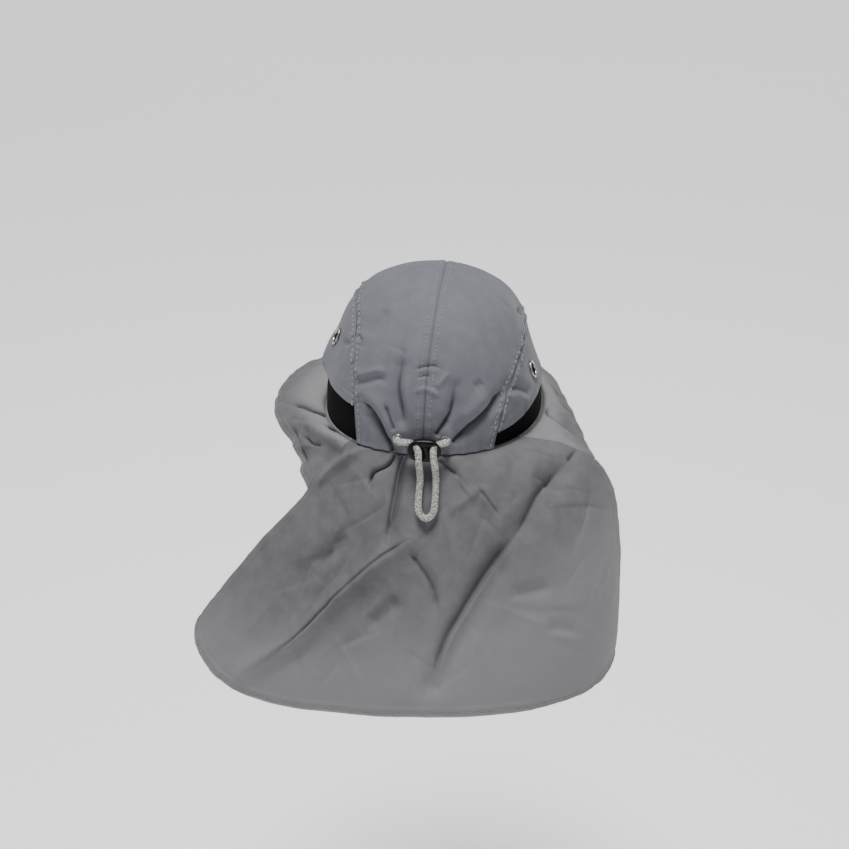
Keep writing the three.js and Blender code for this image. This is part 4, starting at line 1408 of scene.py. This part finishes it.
def join_skirt_edges(flap, brim):
    """Makes the two meet again after their hems are shaped."""
    last = NOTCH + 1
    for flap_row, brim_row in ((-1, 0), (0, -1)):
        meeting = (flap.points[flap_row, :last] + brim.points[brim_row]) / 2
        flap.points[flap_row, :last] = meeting
        brim.points[brim_row] = meeting


def vent_band(name, side, hem, material):
    """The band of net under a side panel, from the base seam up past the panel's hem."""
    rows, columns = BAND_GRID
    angle = np.linspace(BAND_START, BAND_END, rows)[:, None]
    top = hem_height(hem, angle) + BAND_OVERLAP
    form = crown_at(side * angle, top * np.linspace(0, 1, columns)[None, :])
    panel = Panel(name, crown_point(form, CLOTH + GAP, 0.0), crown_normal(form))
    ripple = 0.25 * noise(panel.base, 12.0, 61)
    panel.lift(ripple * smooth_step(edge_distance(panel, "left") / 5))
    return cloth_object(panel, MESH_CLOTH, material)


def eyelet_place(angle, height):
    """A point of the crown's outer face with its outward direction."""
    def at(turn, rise):
        return crown_point(crown_at(angle + turn, height + rise))

    normal = unit(np.cross(at(2, 0) - at(-2, 0), at(0, 2) - at(0, -2)))
    centre = at(0, 0)
    return centre, normal * np.sign(np.dot(normal, centre))


def eyelet(name, node_name, place, hole, radius, material, barrel_material):
    """A rolled metal flange with its barrel, turned about the axis of its place."""
    centre, axis = place
    side = unit(np.cross(axis, [0.0, 0.0, 1.0]))
    up = np.cross(axis, side)
    base, rise, fullness = 0.4, 1.05, 0.55
    middle, reach = (radius + hole) / 2, (radius - hole) / 2
    profile = [(hole + EYELET_WALL, -CLOTH - GAP), (hole, -CLOTH - GAP), (hole, base)]
    for turn in np.linspace(0, np.pi, 9)[1:]:
        profile.append((middle - reach * math.cos(turn), base + rise * math.sin(turn) ** fullness))
    profile.append((radius - 0.25, 0.1))
    profile.append((hole + EYELET_WALL, 0.15))
    corners = 48
    points = []
    for r, z in profile:
        for turn in 2 * math.pi * np.arange(corners) / corners:
            wobble = 1 + 0.012 * math.sin(3 * turn + radius)
            outward = (side * math.cos(turn) + up * math.sin(turn)) * r * wobble
            points.append(centre + axis * z + outward)
    faces = ring_faces(len(profile), corners, closed=True)
    made = make_mesh(name, points, faces, material)
    # The barrel takes the darker metal: painted shade inside the hole.
    made.data.materials.append(barrel_material)
    in_barrel = [int(k < 2 * corners) for k in range(len(faces))]
    made.data.polygons.foreach_set("material_index", in_barrel)
    outward_faces(made)
    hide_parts(node_name)
    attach(made, "root")
    return made


def outward_faces(made):
    """Turns a closed object's faces to point outwards."""
    form = bmesh.new()
    form.from_mesh(made.data)
    bmesh.ops.recalc_face_normals(form, faces=form.faces)
    form.to_mesh(made.data)
    form.free()


def lock_body(material, line):
    """The cord lock: a pillowy oblong with two ways for the cord through it."""
    width, height, depth = LOCK_SIZE
    rings, corners = 22, 96
    tilt = math.radians(LOCK_TILT)
    face = np.array([0.0, math.cos(tilt), math.sin(tilt)])
    up = np.array([0.0, -math.sin(tilt), math.cos(tilt)])
    right = np.array([1.0, 0.0, 0.0])
    points = []
    straight, squareness = width / 2 - height / 2, 3.5
    for i in range(rings + 1):
        turn = math.pi * (i / rings - 0.5)
        inset = 1 - abs(math.sin(turn)) ** 3.2
        z = depth / 2 * power(np.array(math.sin(turn)), 0.6)
        radius = height / 2 - 2.6 * (1 - inset**0.5)
        for k in range(corners):
            angle = 2 * math.pi * k / corners
            x = straight * math.tanh(squareness * math.cos(angle)) / math.tanh(squareness)
            x += radius * math.cos(angle)
            y = radius * math.sin(angle)
            points.append(np.array(LOCK_PLACE) + right * x + up * y + face * z)
    body = make_mesh("lock_body", points, ring_faces(rings + 1, corners), material)
    outward_faces(body)
    drill_lock(body, material, line)
    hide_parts("cord_lock")
    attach(body, "root")
    return body


def drill_lock(body, material, line):
    """Cuts the cord's way through the lock."""
    _, sides, ups = moving_frames(line)
    radius, reach = CORD_HOLE + 0.15, 17.0
    near = np.linalg.norm(line - np.array(LOCK_PLACE), axis=1) < reach
    first_half = np.arange(len(line)) < len(line) // 2
    for k, part in enumerate((near & first_half, near & ~first_half)):
        index = np.nonzero(part)[0][::6]
        drill = tube(line[index], sides[index], ups[index], radius, radius, 24, 0)
        cutter = make_mesh(f"cord_way_{k}", drill[0], drill[1], material)
        outward_faces(cutter)
        cut = body.modifiers.new("way", "BOOLEAN")
        cut.operation = "DIFFERENCE"
        cut.solver = "EXACT"
        cut.object = cutter
        bpy.context.view_layer.update()
        shaped = body.evaluated_get(bpy.context.evaluated_depsgraph_get())
        drilled = bpy.data.meshes.new_from_object(shaped)
        body.modifiers.clear()
        body.data = drilled
        bpy.data.objects.remove(cutter, do_unlink=True)


def cloth_piece(panel, material, holes=()):
    made = cloth_object(panel, CLOTH, material, holes)
    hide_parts(panel.name)
    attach(made, "root")
    return made


# Floor and light.
def add_floor():
    size, below = 90.0, -0.62
    mesh = bpy.data.meshes.new("floor")
    corners = [(-size, -size, below), (size, -size, below), (size, size, below), (-size, size, below)]
    mesh.from_pydata(corners, [], [(0, 1, 2, 3)])
    floor = add_object("floor", mesh)
    material, tree, shader = base_material("pale floor", linear(236, 237, 239), 0.9)
    place = parts_of(tree, tree.nodes.new("ShaderNodeTexCoord").outputs["Object"])
    # The floor glows: painted light, brighter away from the camera, which also lights the cap from
    # below.
    glow = scaled(tree, ramp(tree, place[1], 0.0, -4.0), 0.2, 0.85)
    feed_all(tree, shader, {"Emission Strength": glow, "Emission Color": (0.98, 0.99, 1.0, 1.0)})
    floor.data.materials.append(material)


def add_light(name, place, size, power_watts, colour):
    data = bpy.data.lights.new(name, "AREA")
    data.size = size
    data.energy = power_watts
    data.color = colour
    light = add_object(name, data)
    light.location = place
    light.rotation_euler = (-Vector(place)).to_track_quat("-Z", "Y").to_euler()


def add_world():
    world = bpy.data.worlds.new("studio")
    world.use_nodes = True
    tree = world.node_tree
    place = parts_of(tree, tree.nodes.new("ShaderNodeTexCoord").outputs["Generated"])
    strength = scaled(tree, ramp(tree, place[2], 0.35, 0.0), 0.75, 0.1)
    background = tree.nodes["Background"]
    feed_all(tree, background, {"Color": (0.97, 0.98, 1.0, 1.0), "Strength": strength})
    bpy.context.scene.world = world


def main():
    add_camera()
    thread_light = thread_material("pale cord", linear(204, 205, 198), linear(98, 99, 94))
    # The core's near-black thread is painted shade in the gaps between the braid's strands.
    core_shade = thread_material("cord's core", linear(46, 47, 44), linear(30, 31, 29))
    cord, line, length = braided_cord(thread_light, core_shade)

    # The crown's cloth is a bluer, paler copy of the skirt's: painted light, the cool light falling on
    # the crown.
    crown_cloth = cloth_material("crown cloth", linear(101, 102, 109), linear(122, 124, 131))
    skirt_cloth = cloth_material("skirt cloth", linear(93, 92, 94), linear(129, 127, 129))
    sewing = thread_material("sewing thread", linear(126, 127, 132), linear(102, 103, 108))
    coarse = thread_material("coarse thread", linear(127, 129, 136), linear(100, 102, 109))
    net = net_material()
    silver = metal_material("worn nickel", linear(206, 204, 198), linear(120, 114, 104))
    # The barrels' dark metal is painted shade inside the eyelets' holes.
    shadowed = metal_material("dull barrel", linear(58, 56, 52), linear(30, 28, 26))
    black = lock_material()

    left = crown_panel("crown_panel_left", 1, SEAM_AT_TOP[0])
    right = crown_panel("crown_panel_right", -1, SEAM_AT_TOP[1])
    side_left = side_panel("side_panel_left", 1, SEAM_AT_TOP[0], LEFT_HEM)
    side_right = side_panel("side_panel_right", -1, SEAM_AT_TOP[1], RIGHT_HEM)
    shape_crown(left, right, side_left, side_right)
    flap, brim = flap_panel(), brim_panel()
    shape_skirt(flap, brim)

    vent_places = [
        eyelet_place(side * VENT_ANGLE, height) for side, height in zip((1, -1), VENT_HEIGHTS)
    ]
    cord_places = [eyelet_place(angle, CORD_EYELET_HEIGHT) for angle in CORD_EYELET_ANGLES]
    vent_holes = [(*place, VENT_HOLE_RADIUS + 0.9) for place in vent_places]
    cord_holes = [(*place, CORD_HOLE + 0.45) for place in cord_places]

    for panel, fabric, holes in (
        (left, crown_cloth, cord_holes[:1]),
        (right, crown_cloth, cord_holes[1:]),
        (side_left, crown_cloth, vent_holes[:1]),
        (side_right, crown_cloth, vent_holes[1:]),
        (flap, skirt_cloth, ()),
        (brim, skirt_cloth, ()),
    ):
        cloth_piece(panel, fabric, holes)

    for label, side, hem in (("left", 1, LEFT_HEM), ("right", -1, RIGHT_HEM)):
        band = vent_band(f"vent_net_{label}", side, hem, net)
        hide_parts(f"vent_mesh_{label}")
        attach(band, "root")

    for place, label in zip(vent_places, ("left", "right")):
        eyelet(f"vent_ring_{label}", f"vent_eyelet_{label}", place, VENT_HOLE_RADIUS,
               VENT_EYELET_RADIUS, silver, shadowed)
    for place, label in zip(cord_places, ("left", "right")):
        eyelet(f"cord_ring_{label}", f"cord_eyelet_{label}", place, CORD_HOLE,
                   CORD_HOLE + CORD_EYELET_RIM, silver, shadowed)
    lock = lock_body(black, line)

    hem_rows = [
        (brim, brim.inside("right", HEM_STITCH)),
        (flap, flap.inside("right", HEM_STITCH)),
    ]
    stitches("hem_stitches", hem_rows, sewing, 3.0, 2.2, 0.42, 0.2)
    centre_rows = [(panel, panel.inside("left", SEAM_STITCH)) for panel in (left, right)]
    stitches("centre_seam_stitches", centre_rows, coarse, 3.2, 2.2, 0.4, 0.22)
    side_rows = [
        (panel, panel.inside("right", SIDE_SEAM_STITCH))
        for panel in (left, right, side_left, side_right)
    ]
    stitches("side_seam_stitches", side_rows, coarse, 4.4, 3.4, 0.7, 0.34)
    vent_rows = [(panel, panel.inside("left", HEM_STITCH)) for panel in (side_left, side_right)]
    stitches("side_hem_stitches", vent_rows, sewing)

    add_floor()
    add_light("overhead softbox", (0.12, 0.12, 2.0), 0.7, 64.0, (0.99, 0.985, 0.99))
    add_light("side fill", (-1.4, 1.7, 0.5), 1.2, 5.0, (1.0, 0.99, 0.97))
    add_world()


main()
